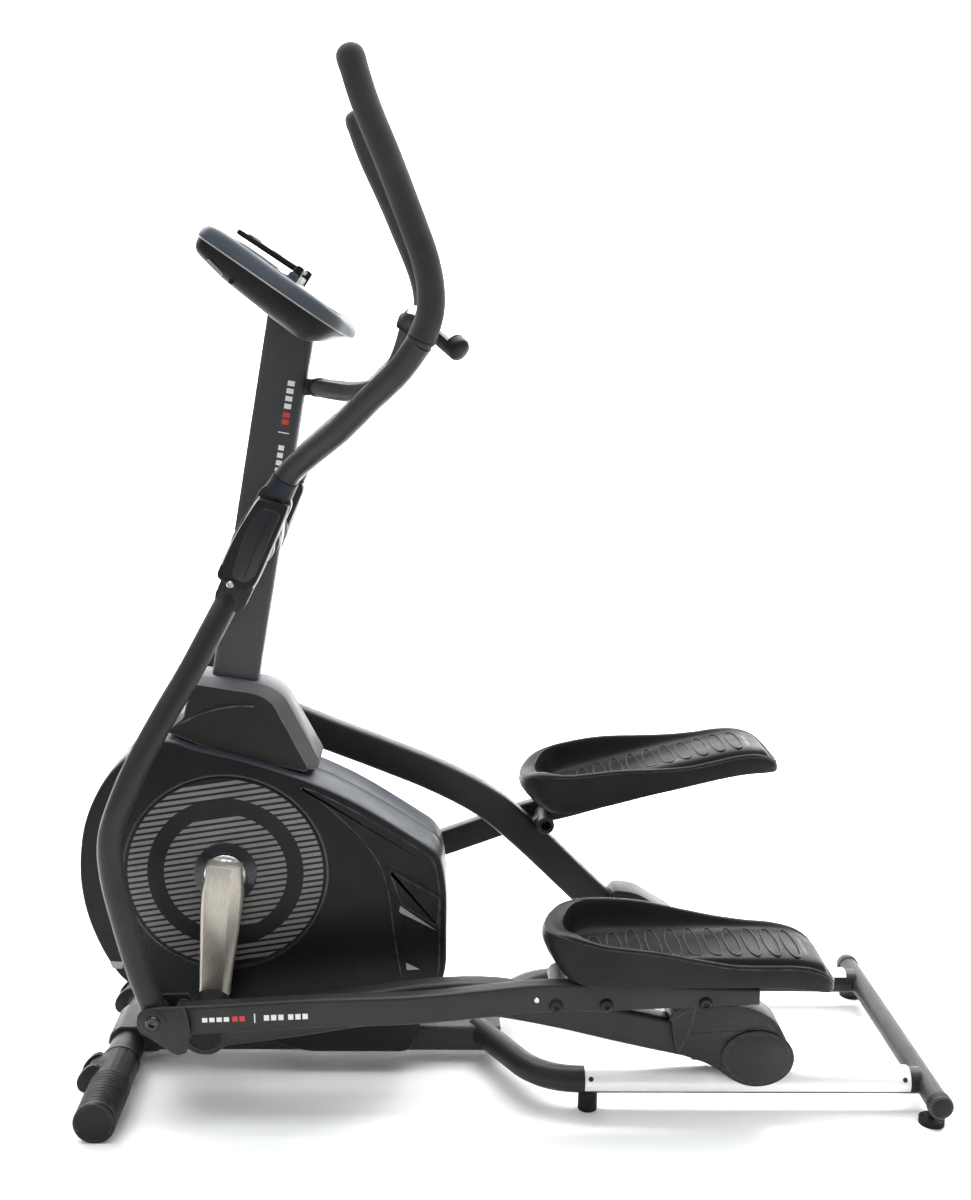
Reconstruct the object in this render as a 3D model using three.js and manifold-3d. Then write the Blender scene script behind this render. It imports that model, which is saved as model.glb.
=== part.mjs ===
// Elliptical trainer. Millimetres, +Z up, +X towards the rear of the machine, +Y towards its right side.
// Shapes are laid out with X = 0 at the crank axle, and moved to the middle of the footprint at the end.
import * as THREE from 'three';
import { mergeVertices } from 'three/addons/utils/BufferGeometryUtils.js';
import Module from 'manifold-3d';

const wasm = await Module();
wasm.setup();

// ---- driving dimensions -------------------------------------------------------------------------
const FOOTPRINT_CENTRE_X = 460;
const GAP = 0.35;
const AXLE_Z = 355;
const CRANK_THROW = 217.8;
const CRANK_ANGLE_LEFT = -94.7;
const ROLLER_Z = 102;
const ARM_LENGTH = 872.9;
const ARM_HINGE = [551.5, 101.7];
const ARM_Y = [163, 197];
const ARM_HEIGHT = 58;
const BAR_Y = [216, 242];
const BAR_HEIGHT = 47;
const SWING_PIVOT = [50, 895];
const HANDLE_HINGE_LEFT = [-86, 183];
const HANDLE_HINGE_RIGHT = [-59.7, 178.5];
const BAR_TURN_RIGHT = 13.87;
const HANDLE_TURN_RIGHT = 2.1;
const HANDLE_TUBE_R = 19;
const GRIP_R = 19.8;
const STABILIZER_X = -172;
const STABILIZER_Z = 32.5;
const STABILIZER_R = 28;
const REAR_X = 1137;
const REAR_Z = 47;
const REAR_R = 18;
const RAIL_Y = 180;
const RAIL_Z = 50;
const RAIL_R = 21;
const MAST_SLOPE = 9.1;
const HOUSING_HALF = 78;
const WALL = 3.2;
const FLYWHEEL = [205, 290];
const TRANSPORT_AXLE = [-218, 27];

const group = new THREE.Group();
group.name = 'elliptical_trainer';

// ---- helpers ------------------------------------------------------------------------------------
const rad = THREE.MathUtils.degToRad;

function weld(geometry) {
  const plain = geometry.index ? geometry.toNonIndexed() : geometry.clone();
  plain.deleteAttribute('normal');
  plain.deleteAttribute('uv');
  const merged = mergeVertices(plain, 1e-4);
  const ids = merged.index.array;
  const kept = [];
  for (let i = 0; i < ids.length; i += 3) {
    const [a, b, c] = [ids[i], ids[i + 1], ids[i + 2]];
    if (a !== b && b !== c && c !== a) kept.push(a, b, c);
  }
  merged.setIndex(kept);
  return merged;
}

function solid(geometry) {
  const g = weld(geometry);
  return new wasm.Manifold(new wasm.Mesh({
    numProp: 3,
    vertProperties: new Float32Array(g.attributes.position.array),
    triVerts: new Uint32Array(g.index.array),
  }));
}

function fromSolid(body) {
  const mesh = body.getMesh();
  const g = new THREE.BufferGeometry();
  g.setAttribute('position', new THREE.BufferAttribute(new Float32Array(mesh.vertProperties), 3));
  g.setIndex(Array.from(mesh.triVerts));
  return g;
}

function join(...geometries) {
  return fromSolid(geometries.map(solid).reduce((a, b) => a.add(b)));
}

function cut(geometry, ...tools) {
  return fromSolid(tools.map(solid).reduce((a, b) => a.subtract(b), solid(geometry)));
}

function common(geometry, tool) {
  return fromSolid(solid(geometry).intersect(solid(tool)));
}

function mirrored(geometry) {
  const g = weld(geometry);
  g.scale(1, -1, 1);
  const ids = Array.from(g.index.array);
  for (let i = 0; i < ids.length; i += 3) [ids[i], ids[i + 1]] = [ids[i + 1], ids[i]];
  g.setIndex(ids);
  return g;
}

// Shapes for one side are drawn on the right (+Y); the left copy is the mirror image.
function onSide(geometry, side) {
  return side === 'left' ? mirrored(geometry) : weld(geometry);
}

function addPart(name, geometry, colour, roughness, metalness) {
  const g = weld(geometry);
  g.translate(-FOOTPRINT_CENTRE_X, 0, 0);
  g.computeVertexNormals();
  const mesh = new THREE.Mesh(g, new THREE.MeshStandardMaterial({ color: colour, roughness, metalness }));
  mesh.name = name;
  group.add(mesh);
}

// A closed outline with each corner rounded by its own radius.
function outline(points, radius) {
  const n = points.length;
  const shape = new THREE.Shape();
  points.forEach((p, i) => {
    const corner = new THREE.Vector2(p[0], p[1]);
    const before = new THREE.Vector2(...points[(i + n - 1) % n].slice(0, 2)).sub(corner);
    const after = new THREE.Vector2(...points[(i + 1) % n].slice(0, 2)).sub(corner);
    const wanted = p[2] ?? radius;
    const reach = Math.min(wanted, before.length() * 0.49, after.length() * 0.49);
    const a = corner.clone().addScaledVector(before.normalize(), reach);
    const b = corner.clone().addScaledVector(after.normalize(), reach);
    if (i === 0) shape.moveTo(a.x, a.y);
    else shape.lineTo(a.x, a.y);
    if (reach > 0.01) shape.quadraticCurveTo(corner.x, corner.y, b.x, b.y);
  });
  shape.closePath();
  return shape;
}

// A side-view (X, Z) shape given thickness from y0 to y1, with softened edges.
function slab(shape, y0, y1, edge = 0, curve = 2, inset = 0) {
  const options = { depth: y1 - y0 - 2 * edge, curveSegments: curve, bevelEnabled: edge > 0 };
  if (edge > 0) {
    Object.assign(options, {
      bevelThickness: edge,
      bevelSize: edge,
      bevelOffset: -edge - inset,
      bevelSegments: edge > 5 ? 2 : 1,
    });
  }
  const g = new THREE.ExtrudeGeometry(shape, options);
  g.rotateX(Math.PI / 2);
  g.translate(0, y1 - edge, 0);
  return g;
}

function roundY(x, z, r, y0, y1, segments = 24) {
  const g = new THREE.CylinderGeometry(r, r, y1 - y0, segments);
  g.translate(x, (y0 + y1) / 2, z);
  return g;
}

function roundZ(x, y, r, z0, z1, segments = 20) {
  const g = new THREE.CylinderGeometry(r, r, z1 - z0, segments);
  g.rotateX(Math.PI / 2);
  g.translate(x, y, (z0 + z1) / 2);
  return g;
}

function box(x0, x1, y0, y1, z0, z1) {
  const g = new THREE.BoxGeometry(x1 - x0, y1 - y0, z1 - z0);
  g.translate((x0 + x1) / 2, (y0 + y1) / 2, (z0 + z1) / 2);
  return g;
}

// A turned shape about a line along Y; the profile is a list of [radius, y].
function turned(x, z, profile, segments = 28) {
  const g = new THREE.LatheGeometry(profile.map(([r, y]) => new THREE.Vector2(r, y)), segments);
  g.translate(x, 0, z);
  return g;
}

function route(points, fillet) {
  const path = new THREE.CurvePath();
  const v = points.map((p) => new THREE.Vector3(...p));
  let start = v[0];
  for (let i = 1; i < v.length - 1; i += 1) {
    const before = v[i - 1].clone().sub(v[i]);
    const after = v[i + 1].clone().sub(v[i]);
    const reach = Math.min(fillet, before.length() * 0.48, after.length() * 0.48);
    const a = v[i].clone().addScaledVector(before.normalize(), reach);
    const b = v[i].clone().addScaledVector(after.normalize(), reach);
    path.add(new THREE.LineCurve3(start, a));
    path.add(new THREE.QuadraticBezierCurve3(a, v[i], b));
    start = b;
  }
  path.add(new THREE.LineCurve3(start, v[v.length - 1]));
  return path;
}

function disc(r, segments = 16) {
  const points = [];
  for (let i = 0; i < segments; i += 1) {
    const a = (i / segments) * Math.PI * 2;
    points.push(new THREE.Vector2(r * Math.cos(a), r * Math.sin(a)));
  }
  return new THREE.Shape(points);
}

function pipe(path, r, steps = 24, segments = 16) {
  return new THREE.ExtrudeGeometry(disc(r, segments), { steps, extrudePath: path, bevelEnabled: false });
}

function smooth(points) {
  return new THREE.CatmullRomCurve3(points.map((p) => new THREE.Vector3(...p)), false, 'centripetal');
}

// The outline of a band that follows a side-view centreline.
function band(centre, height, steps) {
  const curve = new THREE.SplineCurve(centre.map((p) => new THREE.Vector2(...p)));
  const top = [];
  const bottom = [];
  for (let i = 0; i <= steps; i += 1) {
    const p = curve.getPoint(i / steps);
    const t = curve.getTangent(i / steps);
    const half = (typeof height === 'function' ? height(i / steps) : height) / 2;
    top.push(new THREE.Vector2(p.x - t.y * half, p.y + t.x * half));
    bottom.push(new THREE.Vector2(p.x + t.y * half, p.y - t.x * half));
  }
  return new THREE.Shape([...bottom, ...top.reverse()]);
}

// Turns a geometry counter-clockwise as seen from the left of the machine, about a point (x, z).
function turnAbout(geometry, degrees, x, z) {
  const g = geometry.clone();
  g.translate(-x, 0, -z);
  g.rotateY(-rad(degrees));
  g.translate(x, 0, z);
  return g;
}

// ---- frame --------------------------------------------------------------------------------------
const STEEL = 0x17171a;
const PLASTIC = 0x131416;

function baseBeam() {
  const beam = outline([[-40, 22], [40, 22], [40, 65], [-40, 65]], 7);
  const g = new THREE.ExtrudeGeometry(beam, { depth: 595, curveSegments: 3, bevelEnabled: false });
  g.rotateX(Math.PI / 2);
  g.rotateZ(Math.PI / 2);
  g.translate(-140, 0, 0);
  const neck = slab(outline([[-206, 34], [-202, 52], [-186, 66], [-120, 65], [-120, 22], [-148, 20], [-150, 34]], 4), -44, 44, 2);
  const grip = roundY(STABILIZER_X, STABILIZER_Z, STABILIZER_R + GAP, -60, 60, 32);
  return cut(join(g, neck), grip);
}

function frontStabilizer() {
  return roundY(STABILIZER_X, STABILIZER_Z, STABILIZER_R, -276, 276, 32);
}

function frontCap() {
  const profile = [[STABILIZER_R + GAP, 106], [30.6, 106], [31.2, 108], [31.2, 275]];
  profile.push([32.5, 277], [32.5, 282], [30.5, 284], [0, 284], [0, 276.4], [STABILIZER_R + GAP, 276.4]);
  profile.push([STABILIZER_R + GAP, 106]);
  const sleeve = turned(STABILIZER_X, STABILIZER_Z, profile, 20);
  const ear = outline([[-228, 16], [-200, 12], [-190, 40], [-196, 60], [-210, 58], [-227, 40]], 8);
  const ears = join(slab(ear, 114, 122), slab(ear, 150, 158), roundY(...TRANSPORT_AXLE, 3.5, 118, 154, 12));
  return join(cut(ears, roundY(STABILIZER_X, STABILIZER_Z, 29.5, 100, 290, 20)), sleeve);
}

function transportWheel() {
  const rim = [[4, 123], [11, 123], [12.5, 125], [12.5, 147], [11, 149], [4, 149], [4, 123]];
  return turned(...TRANSPORT_AXLE, rim, 16);
}

function railTube() {
  const path = route([[415, 10, RAIL_Z], [515, RAIL_Y, RAIL_Z], [1127, RAIL_Y, RAIL_Z]], 66);
  const tube = pipe(path, RAIL_R, 24, 14);
  const beam = box(300, 455 + GAP, -60, 40 + GAP, 0, 90);
  return cut(tube, beam, roundY(REAR_X, REAR_Z, REAR_R + GAP, 100, 240, 32));
}

function railStrip() {
  const inner = RAIL_R + GAP;
  const outer = inner + 1.9;
  const points = [];
  for (let i = 0; i <= 8; i += 1) {
    const a = rad(-24 + i * 20.6);
    points.push(new THREE.Vector2(outer * Math.cos(a), outer * Math.sin(a)));
  }
  for (let i = 8; i >= 0; i -= 1) {
    const a = rad(-24 + i * 20.6);
    points.push(new THREE.Vector2(inner * Math.cos(a), inner * Math.sin(a)));
  }
  const g = new THREE.ExtrudeGeometry(new THREE.Shape(points), { depth: 525, bevelEnabled: false });
  g.rotateX(Math.PI / 2);
  g.rotateZ(Math.PI / 2);
  g.translate(583, RAIL_Y, RAIL_Z);
  return g;
}

function railFoot() {
  const tube = roundY(0, RAIL_Z, RAIL_R + 2 * GAP, -60, 60, 20);
  tube.rotateZ(Math.PI / 2);
  tube.translate(590, RAIL_Y, 0);
  return cut(roundZ(590, RAIL_Y, 15.5, 0, 40, 20), tube);
}

function rearStabilizer() {
  const half = [[REAR_R, 0], [REAR_R, 244], [19.5, 245], [19.5, 260], [18, 262], [0, 262]];
  const mirror = half.slice(1).reverse().map(([r, y]) => [r, -y]);
  const bar = turned(REAR_X, REAR_Z, [...mirror, ...half.slice(1)], 24);
  const wells = [-1, 1].map((s) => roundZ(REAR_X, s * 223, 5.4, 0, 44, 12));
  return cut(bar, ...wells);
}

function levellingFoot() {
  return join(roundZ(REAR_X, 223, 20.5, 0, 9, 24), roundZ(REAR_X, 223, 5, 5, 41, 12));
}

function uprightPost() {
  const section = outline([[-30, -30], [30, -30], [30, 30], [-30, 30]], 6);
  const post = new THREE.ExtrudeGeometry(section, { depth: 534, curveSegments: 3, bevelEnabled: false });
  post.translate(0, 0, 65.5);
  const plate = outline([[0, 250], [190, 268], [228, 290], [190, 312], [0, 330]], 16);
  const hub = roundY(0, AXLE_Z, 34, -32, 32, 28);
  const frame = join(post, hub, slab(plate, -30, -25.5), slab(plate, 12, 16.5));
  return cut(frame, roundY(0, AXLE_Z, 12.4, -60, 60, 24), roundY(...FLYWHEEL, 8.4, -60, 60, 20));
}

function mastTube(grow) {
  const half = [38 + grow, 21 + grow];
  const section = outline([[-half[0], -half[1]], [half[0], -half[1]], [half[0], half[1]], [-half[0], half[1]]], 9);
  const g = new THREE.ExtrudeGeometry(section, { depth: 760, curveSegments: 3, bevelEnabled: false });
  g.translate(0, 0, -60);
  g.rotateY(rad(MAST_SLOPE));
  g.translate(-0.6, 0, 601);
  return g;
}

function mast() {
  const below = cut(mastTube(0), onConsole(box(-100, 400, -60, 60, -12, 200)));
  const trimmed = common(below, box(-200, 400, -60, 60, 600.2, 1400));
  const bore = roundY(...SWING_PIVOT, 9.4, -60, 60, 20);
  const boss = roundY(...SWING_PIVOT, 34, -30, 30, 24);
  return cut(join(trimmed, boss), bore);
}

function collarOutline(grow) {
  const g = grow;
  return outline([
    [-97 - g, 566 - g, 10], [-84 - g, 606 + g, 14], [-46 - g, 672 + g, 16], [62, 660 + g, 12],
    [98 + g, 641 + g, 14], [140 + g, 545, 12], [145 + g, 496 - g, 9], [30, 534 - g, 14], [-58, 556 - g, 12],
  ], 10);
}

function narrowedUpwards(geometry) {
  const g = weld(geometry);
  const p = g.attributes.position;
  for (let i = 0; i < p.count; i += 1) {
    const k = THREE.MathUtils.clamp((p.getZ(i) - 575) / 95, 0, 1);
    p.setY(i, p.getY(i) * (1 - 0.22 * k));
  }
  return g;
}

function collarCover() {
  const shell = narrowedUpwards(slab(collarOutline(0), -62, 62, 3));
  const inside = narrowedUpwards(slab(collarOutline(-5), -57, 57, 0));
  return cut(shell, inside, mastTube(GAP), box(-30.5, 30.5, -30.5, 30.5, 400, 600));
}

// ---- housing and drive --------------------------------------------------------------------------
function housingOutline() {
  return outline([
    [-239, 355, 60], [-229, 440, 60], [-192, 515, 50], [-138, 565, 36], [-92, 580, 26],
    [-50, 563, 40], [32, 545, 60], [132, 513, 60], [205, 480, 60], [276, 437, 60], [348, 390, 24],
    [360, 330, 40], [362, 170, 40], [318, 92, 30],
    [310, 38, 34], [120, 38, 30], [36, 69, 30], [-168, 157, 40], [-203, 212, 40], [-230, 282, 60],
  ], 30);
}

function housingSlot() {
  const slot = outline([[262, 368], [347, 335], [348, 309], [269, 325]], 4);
  return slab(slot, HOUSING_HALF - 1.6, HOUSING_HALF + 4, 0);
}

function housingHalf() {
  const shape = housingOutline();
  const outer = slab(shape, -HOUSING_HALF, HOUSING_HALF, 7, 2, 0);
  const inner = slab(shape, -HOUSING_HALF + WALL, HOUSING_HALF - WALL, 5, 3, WALL);
  const half = common(cut(outer, inner), box(-400, 500, 0.2, 200, 0, 800));
  return cut(
    half,
    slab(collarOutline(0.5), -62.5, 62.5, 0),
    box(-300, 600, -41, 40 + GAP + 0.3, 0, 65 + GAP + 0.3),
    box(-30.5, 30.5, -30.5, 30.5, 60, 600),
    roundY(0, AXLE_Z, 21, 40, 120, 28),
    housingSlot(),
  );
}

function sideDisc() {
  return turned(0, AXLE_Z, [[21, 78.4], [161, 78.4], [161, 81], [21, 81], [21, 78.4]], 36);
}

function crankAxle() {
  return roundY(0, AXLE_Z, 12, -92.5, 92.5, 24);
}

function drivePulley() {
  const rim = [[12.4, 34], [130, 34], [130, 48], [120, 48], [118, 44], [34, 44], [30, 50], [12.4, 50]];
  return turned(0, AXLE_Z, [...rim, [12.4, 34]], 36);
}

function flywheel() {
  const [x, z] = FLYWHEEL;
  const axle = [[0, -33], [8, -33], [8, -22], [40, -22], [40, -12], [112, -12], [112, -23], [138, -23]];
  const rest = [[138, 9], [112, 9], [112, -4], [40, -4], [40, 9], [8, 9], [8, 34], [16, 34], [16, 48], [0, 48]];
  return turned(x, z, [...axle, ...rest], 28);
}

function beltLoop(grow) {
  const r1 = 130 + grow;
  const r2 = 16 + grow;
  const [x2, z2] = FLYWHEEL;
  const heading = Math.atan2(z2 - AXLE_Z, x2);
  const span = Math.hypot(x2, z2 - AXLE_Z);
  const spread = Math.acos((r1 - r2) / span);
  const shape = new THREE.Path();
  shape.absarc(0, AXLE_Z, r1, heading + spread, heading - spread + Math.PI * 2, false);
  shape.absarc(x2, z2, r2, heading - spread, heading + spread, false);
  shape.closePath();
  return shape.getPoints(16);
}

function driveBelt() {
  const shape = new THREE.Shape(beltLoop(3.4));
  shape.holes.push(new THREE.Path(beltLoop(0.4)));
  return slab(shape, 35, 47, 0, 1);
}

function magnetBracket() {
  const shape = new THREE.Shape();
  shape.absarc(...FLYWHEEL, 152, rad(38), rad(96), false);
  shape.absarc(...FLYWHEEL, 143, rad(96), rad(38), true);
  return slab(shape, -19, 5, 0, 8);
}

// ---- cranks, roller arms, pedal bars ------------------------------------------------------------
function crankArm() {
  const end = CRANK_THROW;
  const arm = new THREE.Shape([
    [-20, -27], [30, -33], [110, -30], [end - 34, -24.5], [end, -25], [end + 20, -16], [end + 26, 0],
    [end + 20, 16], [end, 25], [end - 34, 24.5], [110, 30], [30, 33], [-20, 27], [-41, 15], [-47, 0], [-41, -15],
  ].map(([x, y]) => new THREE.Vector2(x, y)));
  const g = weld(slab(arm, 92, 122, 4, 3));
  const p = g.attributes.position;
  for (let i = 0; i < p.count; i += 1) {
    const fall = THREE.MathUtils.clamp(p.getX(i) / end, 0, 1);
    if (p.getY(i) > 116) p.setY(i, p.getY(i) - 6 * fall);
  }
  return cut(g, roundY(0, 0, 12.4, 80, 93, 24));
}

function placedCrank(side) {
  const angle = side === 'left' ? CRANK_ANGLE_LEFT : CRANK_ANGLE_LEFT + 180;
  const g = turnAbout(crankArm(), angle, 0, 0);
  g.translate(0, 0, AXLE_Z);
  return onSide(g, side);
}

function crankPin(side) {
  const angle = rad(side === 'left' ? CRANK_ANGLE_LEFT : CRANK_ANGLE_LEFT + 180);
  return [CRANK_THROW * Math.cos(angle), AXLE_Z + CRANK_THROW * Math.sin(angle)];
}

function armTilt(side) {
  return -THREE.MathUtils.radToDeg(Math.asin((crankPin(side)[1] - ROLLER_Z) / ARM_LENGTH));
}

// Moves a shape drawn along the line from crank pin (0, 0) to roller (ARM_LENGTH, 0) to its place.
function placedOnArm(geometry, side) {
  const g = turnAbout(geometry, armTilt(side), 0, 0);
  const [x, z] = crankPin(side);
  g.translate(x, 0, z);
  return onSide(g, side);
}

const ARM_CENTRE = [[26, 3], [130, 22], [240, 45], [350, 65], [445, 72], [540, 60], [680, 33], [806, 11]];

function rollerArm() {
  const beam = slab(band(ARM_CENTRE, ARM_HEIGHT, 12), ARM_Y[0], ARM_Y[1], 5, 1);
  const eye = turned(0, 0, [[0, 128], [38, 128], [40, 130], [40, 195], [37, 198], [0, 198]], 24);
  const sleeve = turned(...ARM_HINGE, [[0, 142], [15.5, 142], [15.5, 214], [0, 214]], 20);
  const rest = slab(outline([[531, 80], [572, 74], [566, 100], [537, 104]], 3), 168, 192, 0);
  const plate = outline([[770, -14, 4], [873, -20, 18], [893, -8, 14], [893, 12, 14], [873, 21, 16], [770, 40, 6]], 6);
  const cheeks = join(beam, eye, sleeve, rest, slab(plate, 164, 168.5), slab(plate, 191.5, 196));
  return cut(cheeks, roundY(ARM_LENGTH, 0, 6.4, 150, 210, 20));
}

function rollerCover() {
  const body = outline([
    [728, 66, 12], [762, 84, 30], [850, 87, 40], [898, 66, 30], [922, 20, 30],
    [925, -24, 24], [896, -48, 18], [846, -48, 24], [806, -17, 30], [742, 2, 12],
  ], 14);
  const inner = outline([
    [560, 40, 2], [700, 70, 30], [838, 79, 30], [892, 58, 30], [914, 18, 20],
    [918, -80, 2], [780, -80, 2], [760, -26, 10], [560, 10, 2],
  ], 6);
  const shell = slab(body, 152, 206, 4, 4);
  const wheelDisc = new THREE.Shape();
  wheelDisc.absellipse(873, 0, 59, 48, 0, Math.PI * 2, false, 0);
  const drum = slab(wheelDisc, 198, 211, 3, 6);
  const railWay = box(ARM_LENGTH - 110, ARM_LENGTH + 110, 140, 204.8, -110, -27);
  const armWay = band(ARM_CENTRE, ARM_HEIGHT + 2 * GAP, 12);
  return cut(
    join(shell, drum),
    slab(inner, 157, 201.5, 0),
    slab(armWay, ARM_Y[0] - GAP, ARM_Y[1] + GAP, 0, 1),
    ...[0, 2.4, 12, 22, 32.7].map((tilt) => turnAbout(railWay, tilt, ARM_LENGTH, 0)),
  );
}

function roller() {
  const rim = [[6.4, 170.5], [24, 170.5], [28.2, 172.5], [28.2, 187.5], [24, 189.5], [6.4, 189.5], [6.4, 170.5]];
  return turned(ARM_LENGTH, 0, rim, 28);
}

function rollerAxle() {
  const pin = [[0, 160.5], [9, 160.5], [9, 163.6], [6, 163.6], [6, 196.4], [9, 196.4], [9, 200], [0, 200]];
  return turned(ARM_LENGTH, 0, pin, 16);
}

// Moves a shape drawn on the left side's resting bar to its place on either side.
function placedOnBar(geometry, side) {
  const g = geometry.clone();
  if (side === 'right') {
    g.translate(-HANDLE_HINGE_LEFT[0], 0, -HANDLE_HINGE_LEFT[1]);
    g.rotateY(-rad(BAR_TURN_RIGHT));
    g.translate(HANDLE_HINGE_RIGHT[0], 0, HANDLE_HINGE_RIGHT[1]);
  }
  return onSide(g, side);
}

const BAR_CENTRE = [[-52, 177], [20, 181], [135, 189], [318, 197], [420, 208], [502, 217], [620, 219], [844, 222]];

function barBand(grow) {
  const height = (t) => BAR_HEIGHT + grow - 19 * THREE.MathUtils.clamp((t - 0.7) / 0.3, 0, 1);
  return band(BAR_CENTRE, height, 14);
}

function pedalBar() {
  const beam = slab(barBand(0), BAR_Y[0], BAR_Y[1], 4, 1);
  const lug = outline([
    [-86, 206, 22], [-110, 200, 12], [-112, 168, 20], [-88, 154, 10], [-52, 128, 5], [-36, 132, 5],
    [-30, 168, 6], [-38, 208, 8],
  ], 10);
  const fork = join(beam, slab(lug, 248.8, 254.8, 1), slab(lug, 202.4, 208.8, 1), box(-53, -40, 204, 253, 160, 198));
  return cut(fork, roundY(...HANDLE_HINGE_LEFT, 7.4, 190, 270, 24));
}

function pivotBush() {
  const [x, z] = HANDLE_HINGE_LEFT;
  return turned(x, z, [[0, 209.4], [6, 209.4], [7, 210.4], [7, 247.2], [6, 248.2], [0, 248.2]], 16);
}

function pedalFloor(x) {
  return THREE.MathUtils.lerp(268, 282, THREE.MathUtils.smoothstep(x, 530, 640));
}

function pedal() {
  const side = outline([
    [508, 288, 22], [520, 252, 22], [566, 241, 20], [940, 236, 20], [960, 218, 6], [966, 232, 10],
    [944, 266, 30], [900, 285, 30], [760, 289, 60], [671, 307, 60], [600, 322, 60], [520, 318, 26],
  ], 12);
  const block = slab(side, 105, 255, 0, 5);
  const plan = new THREE.Shape();
  plan.moveTo(575, -75);
  plan.lineTo(950, -66);
  plan.quadraticCurveTo(975, -66, 975, -46);
  plan.lineTo(975, 46);
  plan.quadraticCurveTo(975, 66, 950, 66);
  plan.lineTo(575, 75);
  plan.quadraticCurveTo(506, 66, 506, 0);
  plan.quadraticCurveTo(506, -66, 575, -75);
  const column = new THREE.ExtrudeGeometry(plan, { depth: 200, curveSegments: 8, bevelEnabled: false });
  column.translate(0, 180, 180);
  const tray = new THREE.Shape();
  tray.moveTo(585, -62);
  tray.lineTo(1000, -54);
  tray.lineTo(1000, 54);
  tray.lineTo(585, 62);
  tray.quadraticCurveTo(526, 52, 526, 0);
  tray.quadraticCurveTo(526, -52, 585, -62);
  const hollow = new THREE.ExtrudeGeometry(tray, { depth: 100, curveSegments: 8, bevelEnabled: false });
  hollow.translate(0, 180, 0);
  const p = hollow.attributes.position;
  for (let i = 0; i < p.count; i += 1) {
    const floor = pedalFloor(p.getX(i)) + (p.getX(i) > 960 ? 8 : 0);
    p.setZ(i, p.getZ(i) < 50 ? floor : 400);
  }
  return cut(common(block, column), hollow, slab(barBand(1), BAR_Y[0] - GAP, BAR_Y[1] + GAP, 0, 1));
}

// ---- handlebars ---------------------------------------------------------------------------------
const HANDLE_LOWER = [
  [14, -112, 812], [-4, -135, 775], [-38, -165, 708], [-71, -195, 649], [-104, -220, 586], [-130, -229, 526],
  [-146, -229, 479], [-150, -229, 448], [-146, -229, 400], [-132, -229, 336], [-111, -229, 256], [-89, -229, 190],
];
const HANDLE_UPPER = [
  [90, -113, 975], [110, -125, 1009], [142, -150, 1039], [189, -190, 1079], [234, -228, 1125],
  [277, -260, 1168], [305, -281, 1207],
];
const GRIP_LINE = [
  [307.5, -283.3, 1213], [318, -290, 1244], [319, -292, 1277], [311, -292, 1317], [281, -292, 1395],
  [260, -292, 1446], [227, -292, 1522], [208, -292, 1578],
];

function placedOnHandle(geometry, side) {
  const g = weld(geometry);
  if (side === 'left') return g;
  return turnAbout(mirrored(g), HANDLE_TURN_RIGHT, ...SWING_PIVOT);
}

function handlebar() {
  const lower = pipe(smooth(HANDLE_LOWER), HANDLE_TUBE_R, 20, 12);
  const upper = pipe(smooth(HANDLE_UPPER), HANDLE_TUBE_R, 12, 12);
  const [x, z] = HANDLE_HINGE_LEFT;
  const eye = roundY(x, z, 18.5, -247, -210.4, 20);
  const hub = roundY(...SWING_PIVOT, 30, -108, -62, 24);
  const link = slab(outline([[-8, 815], [12, 788], [38, 796], [114, 962], [94, 996], [66, 988]], 12), -126, -98, 3);
  const holes = [roundY(x, z, 7.4, -260, -200, 20), roundY(...SWING_PIVOT, 12.4, -130, -50, 24)];
  return cut(join(lower, eye, hub, link, upper), ...holes);
}

function shroud() {
  const edge = outline([[62, 972, 10], [112, 962, 12], [60, 838, 14], [40, 826, 8], [-2, 850, 10], [30, 925, 40]], 10);
  const lower = pipe(smooth(HANDLE_LOWER), HANDLE_TUBE_R + GAP, 20, 12);
  const upper = pipe(smooth(HANDLE_UPPER), HANDLE_TUBE_R + GAP, 12, 12);
  return cut(slab(edge, -142, -127, 4, 3), lower, upper);
}

function grip() {
  const tube = pipe(smooth(GRIP_LINE), GRIP_R, 14, 12);
  const ball = new THREE.SphereGeometry(GRIP_R - 0.3, 12, 6);
  const tip = GRIP_LINE[GRIP_LINE.length - 1];
  ball.translate(...tip);
  return join(tube, ball);
}

function handleAxle() {
  const [x, z] = SWING_PIVOT;
  return turned(x, z, [[0, -112], [12, -112], [12, -31], [9, -31], [9, 31], [12, 31], [12, 112], [0, 112]], 20);
}

const FIXED_LINE = [
  [137, 0, 1134], [143, 32, 1134], [166, 60, 1131], [200, 85, 1129], [236, 110, 1138], [262, 130, 1163],
  [277, 145, 1195], [288, 160, 1232],
];
const PULSE_LINE = [[288, 160, 1233], [297, 178, 1241], [318, 205, 1232], [360, 250, 1198]];

function fixedHandlebar() {
  const right = pipe(smooth(FIXED_LINE), 13.5, 14, 10);
  const clamp = box(118, 150, -24, 24, 1118, 1152);
  return cut(join(right, mirrored(right), clamp), mastTube(GAP));
}

function pulseGrip(side) {
  const g = pipe(smooth(PULSE_LINE), 15.8, 8, 12);
  return onSide(cut(g, pipe(smooth(FIXED_LINE), 13.9, 14, 10)), side);
}

// ---- console ------------------------------------------------------------------------------------
const CONSOLE_SLOPE = -33;
const CONSOLE_ORIGIN = [-29, 1360];

// Moves a shape drawn flat (x along the slope, z across it) to the console's slope.
function onConsole(geometry) {
  const g = turnAbout(geometry, CONSOLE_SLOPE, 0, 0);
  g.translate(CONSOLE_ORIGIN[0], 0, CONSOLE_ORIGIN[1]);
  return g;
}

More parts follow.
